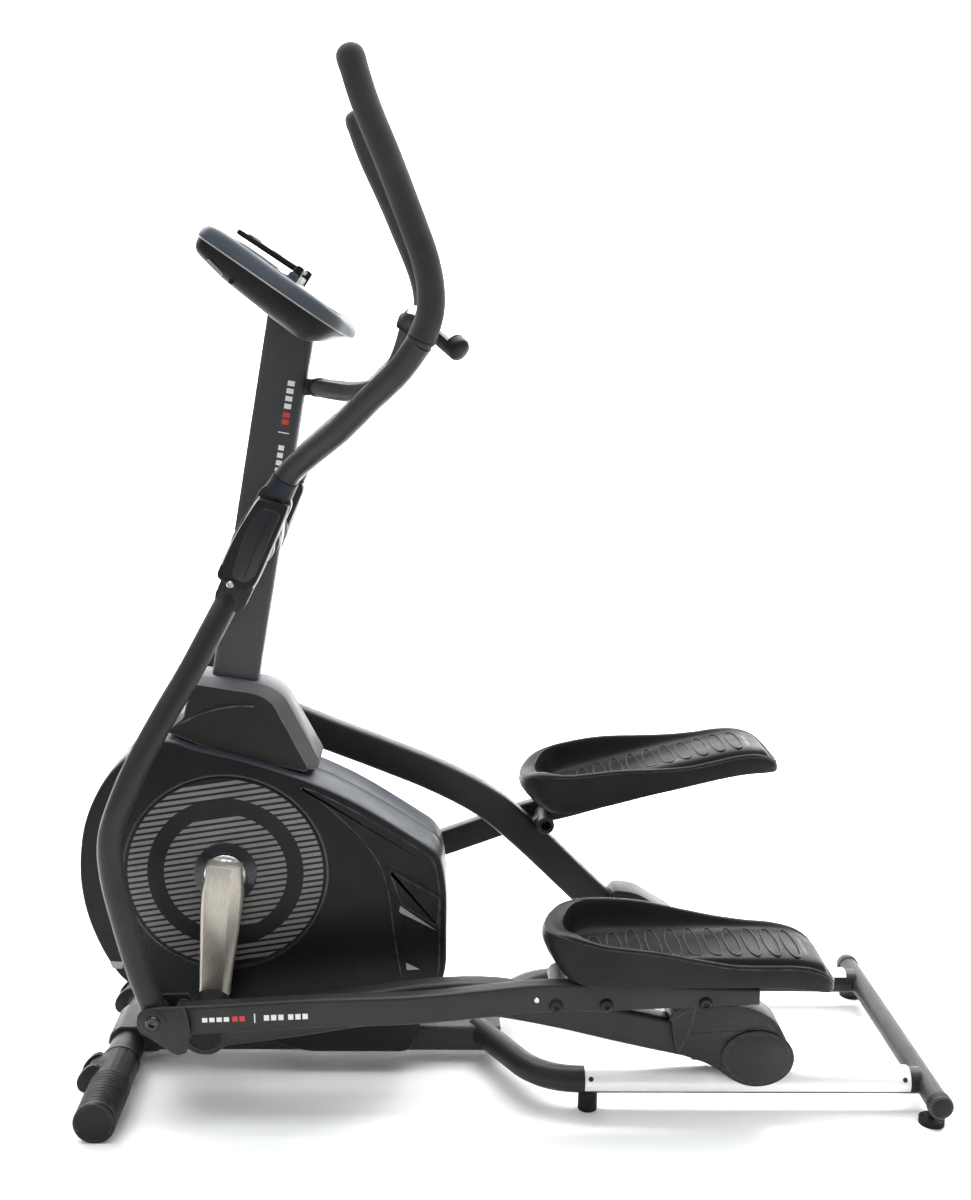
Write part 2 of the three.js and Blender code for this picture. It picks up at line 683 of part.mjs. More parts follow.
function consolePlan(grow) {
  const plan = new THREE.Shape();
  const front = 118 - grow;
  const back = 152 - grow;
  plan.moveTo(grow, -front + 30);
  plan.quadraticCurveTo(grow, -front, 30, -front - 6);
  plan.lineTo(180, -back);
  plan.quadraticCurveTo(250 - grow, -back + 10, 268 - grow, -70);
  plan.quadraticCurveTo(274 - grow, 0, 268 - grow, 70);
  plan.quadraticCurveTo(250 - grow, back - 10, 180, back);
  plan.lineTo(30, front + 6);
  plan.quadraticCurveTo(grow, front, grow, front - 30);
  plan.closePath();
  return plan;
}

function consoleSlice(side) {
  return slab(side, -170, 170, 0, 6);
}

function consoleColumn(grow, low, high) {
  const g = new THREE.ExtrudeGeometry(consolePlan(grow), { depth: high - low, curveSegments: 6, bevelEnabled: false });
  g.translate(0, 0, low);
  return g;
}

function consoleLower() {
  const under = outline([
    [2, -3, 3], [6, -22, 8], [60, -44, 30], [150, -62, 30], [200, -48, 30], [262, -14, 10], [268, -3, 3],
  ], 8);
  return cut(onConsole(common(consoleSlice(under), consoleColumn(2, -90, 20))), mastTube(GAP));
}

const DISPLAY = [26, 134];
const BUTTON_ROW = 206;

function consoleButtonPlace(index) {
  return [BUTTON_ROW, (index - 1) * 44];
}

function consoleUpper() {
  const top = outline([[0, -2.5, 2], [270, -2.5, 2], [268, 8, 6], [230, 18, 12], [30, 22, 12], [0, 12, 8]], 8);
  const wall = outline([[142, 12, 0.5], [156, 12, 0.5], [156, 32, 4], [142, 32, 4]], 2);
  const lug = outline([[142, 12], [158, 12], [158, 45], [146, 45]], 4);
  const body = join(
    common(consoleSlice(top), consoleColumn(0, -40, 60)),
    slab(wall, -80, 80, 0),
    slab(lug, -76, -62, 0),
    slab(lug, 62, 76, 0),
  );
  const wells = [0, 1, 2].map((i) => roundZ(...consoleButtonPlace(i), 9.5, 11, 60, 16));
  return onConsole(cut(body, box(DISPLAY[0] - 0.4, DISPLAY[1] + 0.4, -84.4, 84.4, 14, 60), ...wells));
}

function consoleDisplay() {
  return onConsole(box(DISPLAY[0], DISPLAY[1], -84, 84, 14.4, 18.5));
}

function consoleButton(index) {
  return onConsole(roundZ(...consoleButtonPlace(index), 9, 13, 20.5, 16));
}

function tabletFlap() {
  const leaf = outline([[55, 33, 2], [140, 34, 2], [152, 35, 3], [152, 42, 3], [140, 42, 2], [55, 39, 2]], 2);
  return onConsole(slab(leaf, -61.4, 61.4, 0));
}

// ---- assembly -----------------------------------------------------------------------------------
const SIDES = ['left', 'right'];

addPart('base_beam', baseBeam(), STEEL, 0.45, 0.3);
addPart('front_stabilizer', frontStabilizer(), STEEL, 0.45, 0.3);
addPart('rear_stabilizer', rearStabilizer(), STEEL, 0.45, 0.3);
addPart('upright_post', uprightPost(), STEEL, 0.5, 0.3);
addPart('mast', mast(), 0x16171b, 0.45, 0.3);
addPart('collar_cover', collarCover(), 0x1c1d20, 0.5, 0);
addPart('crank_axle', crankAxle(), 0xa0a0a2, 0.3, 1);
addPart('drive_pulley', drivePulley(), 0x2a2a2c, 0.5, 0);
addPart('drive_belt', driveBelt(), 0x101010, 0.8, 0);
addPart('flywheel', flywheel(), 0x77787a, 0.4, 1);
addPart('magnet_bracket', magnetBracket(), 0x55565a, 0.5, 1);
addPart('handle_axle', handleAxle(), 0x9a9b9e, 0.3, 1);
addPart('fixed_handlebar', fixedHandlebar(), STEEL, 0.4, 0.3);
addPart('console_lower', consoleLower(), PLASTIC, 0.45, 0);
addPart('console_upper', consoleUpper(), 0x3c434d, 0.45, 0);
addPart('console_display', consoleDisplay(), 0x0c1114, 0.15, 0);
addPart('tablet_flap', tabletFlap(), 0x1a1b1e, 0.5, 0);
for (let i = 0; i < 3; i += 1) addPart(`console_button_${i + 1}`, consoleButton(i), 0x9ea3a8, 0.5, 0);

for (const side of SIDES) {
  addPart(`front_cap_${side}`, onSide(frontCap(), side), PLASTIC, 0.6, 0);
  addPart(`transport_wheel_${side}`, onSide(transportWheel(), side), 0x1a1a1a, 0.7, 0);
  addPart(`rail_${side}`, onSide(railTube(), side), STEEL, 0.45, 0.3);
  addPart(`rail_strip_${side}`, onSide(railStrip(), side), 0xc9cbcd, 0.3, 1);
  addPart(`rail_foot_${side}`, onSide(railFoot(), side), 0x121212, 0.8, 0);
  addPart(`levelling_foot_${side}`, onSide(levellingFoot(), side), 0x141414, 0.7, 0);
  addPart(`housing_${side}`, onSide(housingHalf(), side), 0x0f1012, 0.4, 0);
  addPart(`side_disc_${side}`, onSide(sideDisc(), side), 0x3b3c40, 0.4, 0);
  addPart(`crank_${side}`, placedCrank(side), 0xa19d93, 0.35, 0.9);
  addPart(`roller_arm_${side}`, placedOnArm(rollerArm(), side), STEEL, 0.45, 0.3);
  addPart(`roller_cover_${side}`, placedOnArm(rollerCover(), side), PLASTIC, 0.5, 0);
  addPart(`roller_${side}`, placedOnArm(roller(), side), 0x222222, 0.6, 0);
  addPart(`roller_axle_${side}`, placedOnArm(rollerAxle(), side), 0x8b8c8e, 0.35, 1);
  addPart(`pedal_bar_${side}`, placedOnBar(pedalBar(), side), STEEL, 0.45, 0.3);
  addPart(`pivot_bush_${side}`, placedOnBar(pivotBush(), side), 0x1b1b1d, 0.35, 0.8);
  addPart(`pedal_${side}`, placedOnBar(pedal(), side), 0x131315, 0.6, 0);
  addPart(`handlebar_${side}`, placedOnHandle(handlebar(), side), 0x16171b, 0.4, 0.3);
  addPart(`grip_${side}`, placedOnHandle(grip(), side), 0x131315, 0.85, 0);
  addPart(`shroud_${side}`, placedOnHandle(shroud(), side), PLASTIC, 0.35, 0);
  addPart(`pulse_grip_${side}`, pulseGrip(side), 0x17181a, 0.6, 0);
}

export default group;
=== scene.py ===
import math
import bmesh
import bpy
from mathutils import Matrix, Vector


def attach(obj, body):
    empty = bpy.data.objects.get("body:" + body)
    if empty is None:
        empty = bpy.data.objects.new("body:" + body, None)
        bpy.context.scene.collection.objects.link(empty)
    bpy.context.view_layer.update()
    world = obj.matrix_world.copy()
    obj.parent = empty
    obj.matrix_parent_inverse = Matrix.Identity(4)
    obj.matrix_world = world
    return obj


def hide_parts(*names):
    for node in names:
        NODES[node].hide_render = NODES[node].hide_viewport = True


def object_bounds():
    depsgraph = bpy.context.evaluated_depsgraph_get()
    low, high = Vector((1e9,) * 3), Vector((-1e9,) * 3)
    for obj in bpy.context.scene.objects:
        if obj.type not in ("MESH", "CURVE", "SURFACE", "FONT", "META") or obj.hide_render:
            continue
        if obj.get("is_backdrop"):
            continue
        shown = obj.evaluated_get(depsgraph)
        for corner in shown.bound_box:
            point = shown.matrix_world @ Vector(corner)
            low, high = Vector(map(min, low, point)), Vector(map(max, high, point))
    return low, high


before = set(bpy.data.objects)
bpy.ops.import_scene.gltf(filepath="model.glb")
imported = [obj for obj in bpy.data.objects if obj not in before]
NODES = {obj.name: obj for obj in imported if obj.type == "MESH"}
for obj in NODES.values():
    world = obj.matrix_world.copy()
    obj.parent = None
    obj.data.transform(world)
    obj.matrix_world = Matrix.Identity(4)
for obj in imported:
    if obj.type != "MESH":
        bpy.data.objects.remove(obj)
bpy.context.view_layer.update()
SIDES = ("left", "right")

# Shapes are drawn in millimetres with X = 0 at the crank axle; X = 0 of the row frame is 460 mm behind it.
CENTRE_X = 460.0
AXLE_Z = 355.0
THROW = 217.8
CRANK_LEFT = -94.7
ROLLER_Z = 102.0
ARM_LENGTH = 872.9
SWING = (50.0, 895.0)
HINGE_LEFT = (-86.0, 183.0)
HINGE_RIGHT = (-59.7, 178.5)
BAR_TURN = 13.87
HANDLE_TURN = 2.1
RAIL_Y = 180
RAIL_Z = 50
BAR_Y = 229
FACET_ANGLE = 38.0
TINY_RADIUS = 0.01


# ---- materials ------------------------------------------------------------------------------------
def link(tree, a, b):
    tree.links.new(a, b)


def node(tree, kind, **values):
    n = tree.nodes.new(kind)
    for key, value in values.items():
        setattr(n, key, value)
    return n


def noise(tree, coords, scale, detail=4.0, stretch=None):
    n = node(tree, "ShaderNodeTexNoise")
    n.inputs["Scale"].default_value = scale
    n.inputs["Detail"].default_value = detail
    source = coords
    if stretch:
        m = node(tree, "ShaderNodeMapping")
        m.inputs["Scale"].default_value = stretch
        link(tree, coords, m.inputs["Vector"])
        source = m.outputs["Vector"]
    link(tree, source, n.inputs["Vector"])
    return n.outputs["Fac"]


def spread(tree, value, low, high, a=0.3, b=0.7):
    n = node(tree, "ShaderNodeMapRange")
    n.inputs["From Min"].default_value = a
    n.inputs["From Max"].default_value = b
    n.inputs["To Min"].default_value = low
    n.inputs["To Max"].default_value = high
    link(tree, value, n.inputs["Value"])
    return n.outputs["Result"]


def mixed(tree, factor, a, b):
    n = node(tree, "ShaderNodeMix", data_type="RGBA")
    if isinstance(factor, float):
        n.inputs[0].default_value = factor
    else:
        link(tree, factor, n.inputs[0])
    for socket, value in ((n.inputs[6], a), (n.inputs[7], b)):
        if isinstance(value, tuple):
            socket.default_value = (*value, 1.0)
        else:
            link(tree, value, socket)
    return n.outputs[2]


def edge_mask(tree, radius):
    """Where the surface turns a corner: the difference between the rounded and the plain normal."""
    bevel = node(tree, "ShaderNodeBevel", samples=4)
    bevel.inputs["Radius"].default_value = radius
    geometry = node(tree, "ShaderNodeNewGeometry")
    dot = node(tree, "ShaderNodeVectorMath", operation="DOT_PRODUCT")
    link(tree, bevel.outputs["Normal"], dot.inputs[0])
    link(tree, geometry.outputs["Normal"], dot.inputs[1])
    return spread(tree, dot.outputs["Value"], 1.0, 0.0, 0.86, 0.99)


def finish(name, dark, light, rough, bump=0.1, grain=900.0, cloud=7.0, metal=0.0, edge_wear_and_highlight=None, stretch=None,
           coat=0.0, sheen=0.0, specular=0.16, painted_top_shading=None):
    """A procedural surface: drifting tone, fine grain in bump and roughness, rubbed edges lightened partly
    as a painted edge highlight, and upward faces blended to a set colour: painted skylight where it is
    lighter, painted shade where it is darker.
    """
    m = bpy.data.materials.new(name)
    m.use_nodes = True
    t = m.node_tree
    shader = t.nodes["Principled BSDF"]
    coords = node(t, "ShaderNodeTexCoord").outputs["Object"]
    wide = noise(t, coords, cloud, 3.0)
    fine = noise(t, coords, grain, 2.0, stretch)
    colour = mixed(t, spread(t, wide, 0.0, 1.0), dark, light)
    speck = spread(t, fine, 0.0, 0.35, 0.45, 0.75)
    colour = mixed(t, speck, colour, tuple(min(1.0, c * 1.7 + 0.004) for c in light))
    # Painted light and shade: faces turned upwards blend to another colour, standing in for skylight on the
    # tops of the housing and collar, and for shade on the pedals.
    if painted_top_shading:
        geometry = node(t, "ShaderNodeNewGeometry")
        split = node(t, "ShaderNodeSeparateXYZ")
        link(t, geometry.outputs["Normal"], split.inputs[0])
        colour = mixed(t, spread(t, split.outputs["Z"], 0.0, 1.0, 0.25, 0.85), colour, painted_top_shading)
    # Rubbed edges, partly wear and partly a painted highlight: corners are lightened to stand in for the
    # light they catch.
    if edge_wear_and_highlight:
        mask = edge_mask(t, edge_wear_and_highlight[1])
        broken = node(t, "ShaderNodeMath", operation="MULTIPLY")
        link(t, mask, broken.inputs[0])
        link(t, spread(t, noise(t, coords, 60.0, 5.0), 0.15, 0.9, 0.35, 0.65), broken.inputs[1])
        colour = mixed(t, broken.outputs[0], colour, edge_wear_and_highlight[0])
    link(t, colour, shader.inputs["Base Color"])
    streaks = noise(t, coords, 26.0, 5.0)
    base = spread(t, streaks, rough[0], rough[1])
    link(t, base, shader.inputs["Roughness"])
    shader.inputs["Metallic"].default_value = metal
    shader.inputs["Specular IOR Level"].default_value = specular
    shader.inputs["Coat Weight"].default_value = coat
    shader.inputs["Coat Roughness"].default_value = 0.25
    shader.inputs["Sheen Weight"].default_value = sheen
    shader.inputs["Sheen Roughness"].default_value = 0.5
    b = node(t, "ShaderNodeBump")
    b.inputs["Strength"].default_value = bump
    b.inputs["Distance"].default_value = 0.0006
    link(t, fine, b.inputs["Height"])
    link(t, b.outputs["Normal"], shader.inputs["Normal"])
    return m


MAT = {
    "steel": finish("powder_coated_steel", (0.012, 0.0115, 0.011), (0.021, 0.019, 0.017), (0.33, 0.47),
                    0.22, 1500.0, edge_wear_and_highlight=((0.10, 0.095, 0.085), 0.003), specular=0.24),
    "mast": finish("mast_powder_coat", (0.032, 0.033, 0.034), (0.044, 0.045, 0.046), (0.32, 0.46), 0.2,
                   1500.0, edge_wear_and_highlight=((0.07, 0.07, 0.075), 0.003), specular=0.30),
    # Painted skylight: the housing's upward faces are lifted to a pale bluish grey.
    "housing": finish("moulded_housing", (0.0040, 0.0042, 0.0046), (0.0080, 0.0080, 0.0080), (0.34, 0.48),
                      0.12, 1100.0, edge_wear_and_highlight=((0.10, 0.10, 0.10), 0.0035), painted_top_shading=(0.030, 0.033, 0.040)),
    # Painted skylight: the collar's upward faces are lifted to a paler grey.
    "collar": finish("collar_plastic", (0.013, 0.013, 0.013), (0.024, 0.022, 0.020), (0.36, 0.5), 0.2,
                     1000.0, edge_wear_and_highlight=((0.16, 0.155, 0.15), 0.004), painted_top_shading=(0.075, 0.078, 0.085)),
    "band": finish("collar_band_plastic", (0.055, 0.055, 0.056), (0.085, 0.083, 0.08), (0.38, 0.52), 0.2,
                   1000.0, edge_wear_and_highlight=((0.30, 0.29, 0.27), 0.003)),
    "plastic": finish("black_plastic", (0.0062, 0.0061, 0.0062), (0.0115, 0.0112, 0.011), (0.36, 0.52), 0.2,
                      1200.0, edge_wear_and_highlight=((0.09, 0.09, 0.09), 0.0025)),
    "gloss": finish("gloss_black_plastic", (0.008, 0.008, 0.010), (0.014, 0.014, 0.016), (0.12, 0.24), 0.05,
                    900.0, coat=0.5, edge_wear_and_highlight=((0.08, 0.08, 0.085), 0.002)),
    "stripe": finish("disc_stripe_paint", (0.125, 0.124, 0.120), (0.170, 0.168, 0.160), (0.40, 0.54), 0.2,
                     1400.0, metal=0.2),
    "disc": finish("disc_plastic", (0.005, 0.005, 0.006), (0.009, 0.009, 0.010), (0.3, 0.45), 0.15, 1200.0),
    "crank": finish("satin_champagne_silver", (0.34, 0.31, 0.265), (0.44, 0.41, 0.36), (0.30, 0.42), 0.12,
                    1400.0, metal=0.6, edge_wear_and_highlight=((0.66, 0.64, 0.60), 0.003), stretch=(1.0, 1.0, 0.06)),
    "metal": finish("bright_metal", (0.42, 0.42, 0.42), (0.58, 0.57, 0.56), (0.22, 0.36), 0.12, 1300.0,
                    metal=1.0, stretch=(1.0, 0.08, 1.0)),
    "strip": finish("satin_aluminium", (0.80, 0.80, 0.77), (0.92, 0.91, 0.88), (0.26, 0.42), 0.16, 1800.0,
                    metal=0.2, specular=0.5, stretch=(0.03, 1.0, 1.0), edge_wear_and_highlight=((0.85, 0.85, 0.84), 0.0012)),
    "iron": finish("turned_cast_iron", (0.10, 0.10, 0.10), (0.17, 0.165, 0.16), (0.4, 0.6), 0.3, 900.0,
                   metal=0.9),
    "rubber": finish("black_rubber", (0.009, 0.009, 0.009), (0.016, 0.016, 0.016), (0.62, 0.8),
                     0.35, 900.0),
    "foam": finish("grip_foam", (0.0125, 0.0125, 0.013), (0.021, 0.021, 0.022), (0.72, 0.88), 0.75, 1700.0,
                   sheen=0.12, specular=0.3),
    # Painted shade: the pedal's upward faces are darkened.
    "pedal": finish("pedal_plastic", (0.0065, 0.0061, 0.0056), (0.0125, 0.0115, 0.0104), (0.36, 0.52), 0.3,
                    1100.0, edge_wear_and_highlight=((0.12, 0.11, 0.10), 0.0025), painted_top_shading=(0.0035, 0.0034, 0.0033)),
    "tread": finish("pedal_tread_plastic", (0.016, 0.015, 0.014), (0.028, 0.026, 0.024), (0.42, 0.58), 0.45,
                    900.0, edge_wear_and_highlight=((0.10, 0.095, 0.09), 0.0018)),
    "slate": finish("slate_console_plastic", (0.050, 0.058, 0.070), (0.066, 0.075, 0.088), (0.36, 0.5),
                    0.22, 1100.0, edge_wear_and_highlight=((0.20, 0.21, 0.23), 0.0025)),
    "silver": finish("silver_paint", (0.36, 0.36, 0.36), (0.47, 0.465, 0.455), (0.3, 0.42), 0.1, 1500.0,
                     metal=0.6, edge_wear_and_highlight=((0.66, 0.66, 0.65), 0.0015)),
    "lip": finish("pale_edge_paint", (0.22, 0.22, 0.22), (0.31, 0.305, 0.295), (0.34, 0.46), 0.12, 1300.0,
                  metal=0.3),
    "glass": finish("display_window", (0.006, 0.008, 0.009), (0.010, 0.012, 0.014), (0.06, 0.14), 0.02,
                    600.0, coat=0.6),
    "button": finish("button_rubber", (0.25, 0.255, 0.26), (0.33, 0.33, 0.335), (0.5, 0.65), 0.3, 900.0),
    "blue": finish("collar_ring_plastic", (0.008, 0.010, 0.016), (0.014, 0.017, 0.027), (0.34, 0.48), 0.15,
                   1000.0),
    "print": finish("pale_print", (0.62, 0.62, 0.61), (0.74, 0.74, 0.73), (0.45, 0.6), 0.1, 1500.0),
    "red_print": finish("red_print", (0.46, 0.045, 0.035), (0.58, 0.06, 0.05), (0.45, 0.6), 0.1, 1500.0),
    "belt": finish("belt_rubber", (0.012, 0.012, 0.012), (0.02, 0.02, 0.02), (0.6, 0.75), 0.4, 500.0),
}


# ---- mesh helpers ---------------------------------------------------------------------------------
class Form:
    """Vertices in millimetres and faces, gathered before they become one piece."""

    def __init__(self):
        self.points = []
        self.faces = []

    def add(self, points, faces):
        start = len(self.points)
        self.points.extend(Vector(p) for p in points)
        self.faces.extend(tuple(start + i for i in f) for f in faces)
        return self

    def rings(self, rings, closed_ends=True):
        """Skins a list of equal rings; the first and last are capped."""
        start = len(self.points)
        n = len(rings[0])
        for ring in rings:
            self.points.extend(Vector(p) for p in ring)
        for k in range(len(rings) - 1):
            for i in range(n):
                j = (i + 1) % n
                a = start + k * n
                self.faces.append((a + i, a + j, a + n + j, a + n + i))
        if closed_ends:
            self.faces.append(tuple(start + i for i in reversed(range(n))))
            last = start + (len(rings) - 1) * n
            self.faces.append(tuple(last + i for i in range(n)))
        return self

    def moved(self, change):
        self.points = [change(p) for p in self.points]
        return self

    def joined(self, other):
        return self.add(other.points, other.faces)


def soften(obj, bevel, angle):
    """Rounds the edges of an object that turn by more than the angle, by bevel millimetres."""
    soft = obj.modifiers.new("edges", "BEVEL")
    soft.width = bevel / 1000
    soft.segments = 2
    soft.limit_method = "ANGLE"
    soft.angle_limit = math.radians(angle)


def piece(name, form, body, material, replaces=(), sharp=FACET_ANGLE):
    """One named mesh on a body; edges that turn by more than sharp degrees stay sharp."""
    mesh = bpy.data.meshes.new(name)
    points = [((p.x - CENTRE_X) / 1000, p.y / 1000, p.z / 1000) for p in form.points]
    mesh.from_pydata(points, [], form.faces)
    b = bmesh.new()
    b.from_mesh(mesh)
    bmesh.ops.recalc_face_normals(b, faces=b.faces)
    limit = math.radians(sharp)
    for f in b.faces:
        f.smooth = True
    for e in b.edges:
        e.smooth = len(e.link_faces) == 2 and e.calc_face_angle(0.0) < limit
    b.to_mesh(mesh)
    b.free()
    obj = bpy.data.objects.new(name, mesh)
    bpy.context.scene.collection.objects.link(obj)
    mesh.materials.append(MAT[material])
    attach(obj, body)
    if replaces:
        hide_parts(*replaces)
    return obj


def arc_outline(points, radius, steps=8):
    """A closed outline [x, z, reach] with rounded corners, as in the CAD part but finer."""
    out = []
    n = len(points)
    for i, p in enumerate(points):
        corner = Vector(p[:2])
        before = Vector(points[i - 1][:2]) - corner
        after = Vector(points[(i + 1) % n][:2]) - corner
        wanted = p[2] if len(p) > 2 else radius
        reach = min(wanted, before.length * 0.49, after.length * 0.49)
        a = corner + before.normalized() * reach
        b = corner + after.normalized() * reach
        for k in range(steps + 1):
            t = k / steps
            out.append(a * (1 - t) ** 2 + corner * 2 * t * (1 - t) + b * t ** 2)
    tidy = [out[0]]
    for p in out[1:]:
        if (p - tidy[-1]).length > 0.05:
            tidy.append(p)
    return tidy


def area(outline):
    total = 0.0
    for i, p in enumerate(outline):
        q = outline[(i + 1) % len(outline)]
        total += p.x * q.y - q.x * p.y
    return total / 2


def inset(outline, distance):
    """Moves each point inwards along the mean of its two edge normals."""
    sign = 1 if area(outline) > 0 else -1
    out = []
    n = len(outline)
    for i, p in enumerate(outline):
        a = (p - outline[i - 1]).normalized()
        b = (outline[(i + 1) % n] - p).normalized()
        normal = Vector((-(a.y + b.y), a.x + b.x)) * sign
        if normal.length < 1e-6:
            normal = Vector((-a.y, a.x)) * sign
        normal.normalize()
        turn = max(0.6, normal.dot(Vector((-a.y, a.x)) * sign))
        out.append(p + normal * distance / turn)
    return out


def slab(outline, y0, y1, edge=0.0, steps=3, width=None):
    """A side-view outline given thickness from y0 to y1, its edges rounded over by edge millimetres."""
    if edge == 0:
        return Form().rings([[(p.x, y, p.y) for p in outline] for y in (y0, y1)])
    rings = []
    across = edge if width is None else width
    levels = [(k, y0, edge) for k in range(steps + 1)] + [(k, y1, -edge) for k in range(steps, -1, -1)]
    for k, y, depth in levels:
        a = math.pi / 2 * k / steps
        shape = inset(outline, across * (1 - math.sin(a)))
        rings.append([(p.x, y + depth * (1 - math.cos(a)), p.y) for p in shape])
    return Form().rings(rings)


def round_points(n):
    """The corners of a regular polygon of radius 1."""
    return [(math.cos(2 * math.pi * i / n), math.sin(2 * math.pi * i / n)) for i in range(n)]


def ellipse(x, z, wide, n, tall):
    return [Vector((x + wide * c, z + tall * s)) for c, s in round_points(n)]


def turned(x, z, profile, n=48):
    """A disc or ring turned about a line along Y; the profile is [radius, y], from 0.01 for a disc."""
    rings = []
    for r, y in profile:
        reach = max(r, TINY_RADIUS)
        rings.append([(x + reach * c, y, z + reach * s) for c, s in round_points(n)])
    if profile[0][0] <= TINY_RADIUS:
        return Form().rings(rings)
    return Form().rings(rings + [rings[0]], closed_ends=False)


def turned_z(x, y, profile, n):
    """A disc turned about an upright line; the profile is [radius, z]."""
    rings = []
    for r, z in profile:
        reach = max(r, TINY_RADIUS)
        rings.append([(x + reach * c, y + reach * s, z) for c, s in round_points(n)])
    return Form().rings(rings)


def along(points, count):
    """Points evenly spread on a centripetal Catmull-Rom curve."""
    pts = [Vector(p) for p in points]
    pts = [pts[0] * 2 - pts[1]] + pts + [pts[-1] * 2 - pts[-2]]
    dense = []
    for i in range(1, len(pts) - 2):
        p0, p1, p2, p3 = pts[i - 1:i + 3]
        t = [0.0]
        for a, b in ((p0, p1), (p1, p2), (p2, p3)):
            t.append(t[-1] + max((b - a).length, 1e-6) ** 0.5)
        for k in range(24):
            u = t[1] + (t[2] - t[1]) * k / 24
            a1 = p0 * ((t[1] - u) / (t[1] - t[0])) + p1 * ((u - t[0]) / (t[1] - t[0]))
            a2 = p1 * ((t[2] - u) / (t[2] - t[1])) + p2 * ((u - t[1]) / (t[2] - t[1]))
            a3 = p2 * ((t[3] - u) / (t[3] - t[2])) + p3 * ((u - t[2]) / (t[3] - t[2]))
            b1 = a1 * ((t[2] - u) / (t[2] - t[0])) + a2 * ((u - t[0]) / (t[2] - t[0]))
            b2 = a2 * ((t[3] - u) / (t[3] - t[1])) + a3 * ((u - t[1]) / (t[3] - t[1]))
            dense.append(b1 * ((t[2] - u) / (t[2] - t[1])) + b2 * ((u - t[1]) / (t[2] - t[1])))
    dense.append(pts[-2])
    lengths = [0.0]
    for a, b in zip(dense, dense[1:]):
        lengths.append(lengths[-1] + (b - a).length)
    out = []
    k = 0
    for i in range(count + 1):
        d = lengths[-1] * i / count
        while k < len(dense) - 2 and lengths[k + 1] < d:
            k += 1
        f = (d - lengths[k]) / max(lengths[k + 1] - lengths[k], 1e-9)
        out.append(dense[k].lerp(dense[k + 1], min(max(f, 0.0), 1.0)))
    return out


def sweep(path, radius, n=28, section=None, ends=0.0):
    """A tube along a path; radius is a number or a function of 0..1; section gives another cross-section."""
    rings = []
    side = None
    last = len(path) - 1
    for i, p in enumerate(path):
        t = (path[min(i + 1, last)] - path[max(i - 1, 0)]).normalized()
        if side is None:
            side = t.cross(Vector((0, 0, 1)) if abs(t.z) < 0.9 else Vector((1, 0, 0))).normalized()
        side = (side - t * side.dot(t)).normalized()
        up = side.cross(t)
        r = radius(i / last) if callable(radius) else radius
        shape = section or round_points(n)
        ring = [p + side * (a * r) + up * (b * r) for a, b in shape]
        rings.append(ring)
        if ends and i in (0, last):
            out = -t if i == 0 else t
            caps = []
            for k in range(1, 5):
                a = math.pi / 2 * k / 4
                shrink = max(math.cos(a), 0.02)
                caps.append([p + out * (math.sin(a) * ends) + (q - p) * shrink for q in ring])
            if i == 0:
                rings = caps[::-1] + rings
            else:
                rings.extend(caps)
    return Form().rings(rings)


def mirror(p):
    return Vector((p.x, -p.y, p.z))


def turn(degrees, x, z):
    """Counter-clockwise as seen from the machine's left."""
    a = math.radians(degrees)
    c, s = math.cos(a), math.sin(a)

    def change(p):
        dx, dz = p.x - x, p.z - z
        return Vector((x + dx * c - dz * s, p.y, z + dx * s + dz * c))

    return change


def between(table, x):
    """A smooth height through a table of (x, z)."""
    if x <= table[0][0]:
        return table[0][1]
    for i, ((x0, z0), (x1, z1)) in enumerate(zip(table, table[1:])):
        if x <= x1:
            h = x1 - x0
            m0 = m1 = (z1 - z0) / h
            if i > 0:
                m0 = (m0 + (z0 - table[i - 1][1]) / (x0 - table[i - 1][0])) / 2
            if i + 2 < len(table):
                m1 = (m1 + (table[i + 2][1] - z1) / (table[i + 2][0] - x1)) / 2
            t = (x - x0) / h
            return (z0 * (1 + 2 * t) * (1 - t) ** 2 + m0 * h * t * (1 - t) ** 2
                    + z1 * t * t * (3 - 2 * t) + m1 * h * t * t * (t - 1))
    return table[-1][1]


def for_side(form, side):
    return form.moved(mirror) if side == "left" else form


def crank_pin(side):
    a = math.radians(CRANK_LEFT if side == "left" else CRANK_LEFT + 180)
    return Vector((THROW * math.cos(a), 0, AXLE_Z + THROW * math.sin(a)))


def on_crank(form, side):
    form.moved(turn(CRANK_LEFT if side == "left" else CRANK_LEFT + 180, 0, 0))
    form.moved(lambda p: p + Vector((0, 0, AXLE_Z)))
    return for_side(form, side)


def on_arm(form, side):
    pin = crank_pin(side)
    tilt = -math.degrees(math.asin((pin.z - ROLLER_Z) / ARM_LENGTH))
    form.moved(turn(tilt, 0, 0))
    form.moved(lambda p: p + pin)
    return for_side(form, side)


def on_bar(form, side):
    if side == "right":
        shift = Vector((HINGE_RIGHT[0] - HINGE_LEFT[0], 0, HINGE_RIGHT[1] - HINGE_LEFT[1]))
        form.moved(turn(BAR_TURN, *HINGE_LEFT)).moved(lambda p: p + shift)
    return for_side(form, side)


def on_handle(form, side):
    """Handlebar shapes are drawn on the left side."""
    if side == "left":
        return form
    return form.moved(mirror).moved(turn(HANDLE_TURN, *SWING))


PLACES = {"frame": for_side, "crank_set": on_crank, "arm": on_arm, "pedal_bar": on_bar, "handle": on_handle}


def sided(name, side, form, body, material, replaces=(), sharp=FACET_ANGLE):
    """One piece of a left and right pair, set in its place on a body."""
    target = body if body in ("frame", "crank_set") else f"{body}_{side}"
    nodes = tuple(f"{node_name}_{side}" for node_name in replaces)
    return piece(f"{name}_{side}", PLACES[body](form, side), target, material, nodes, sharp)


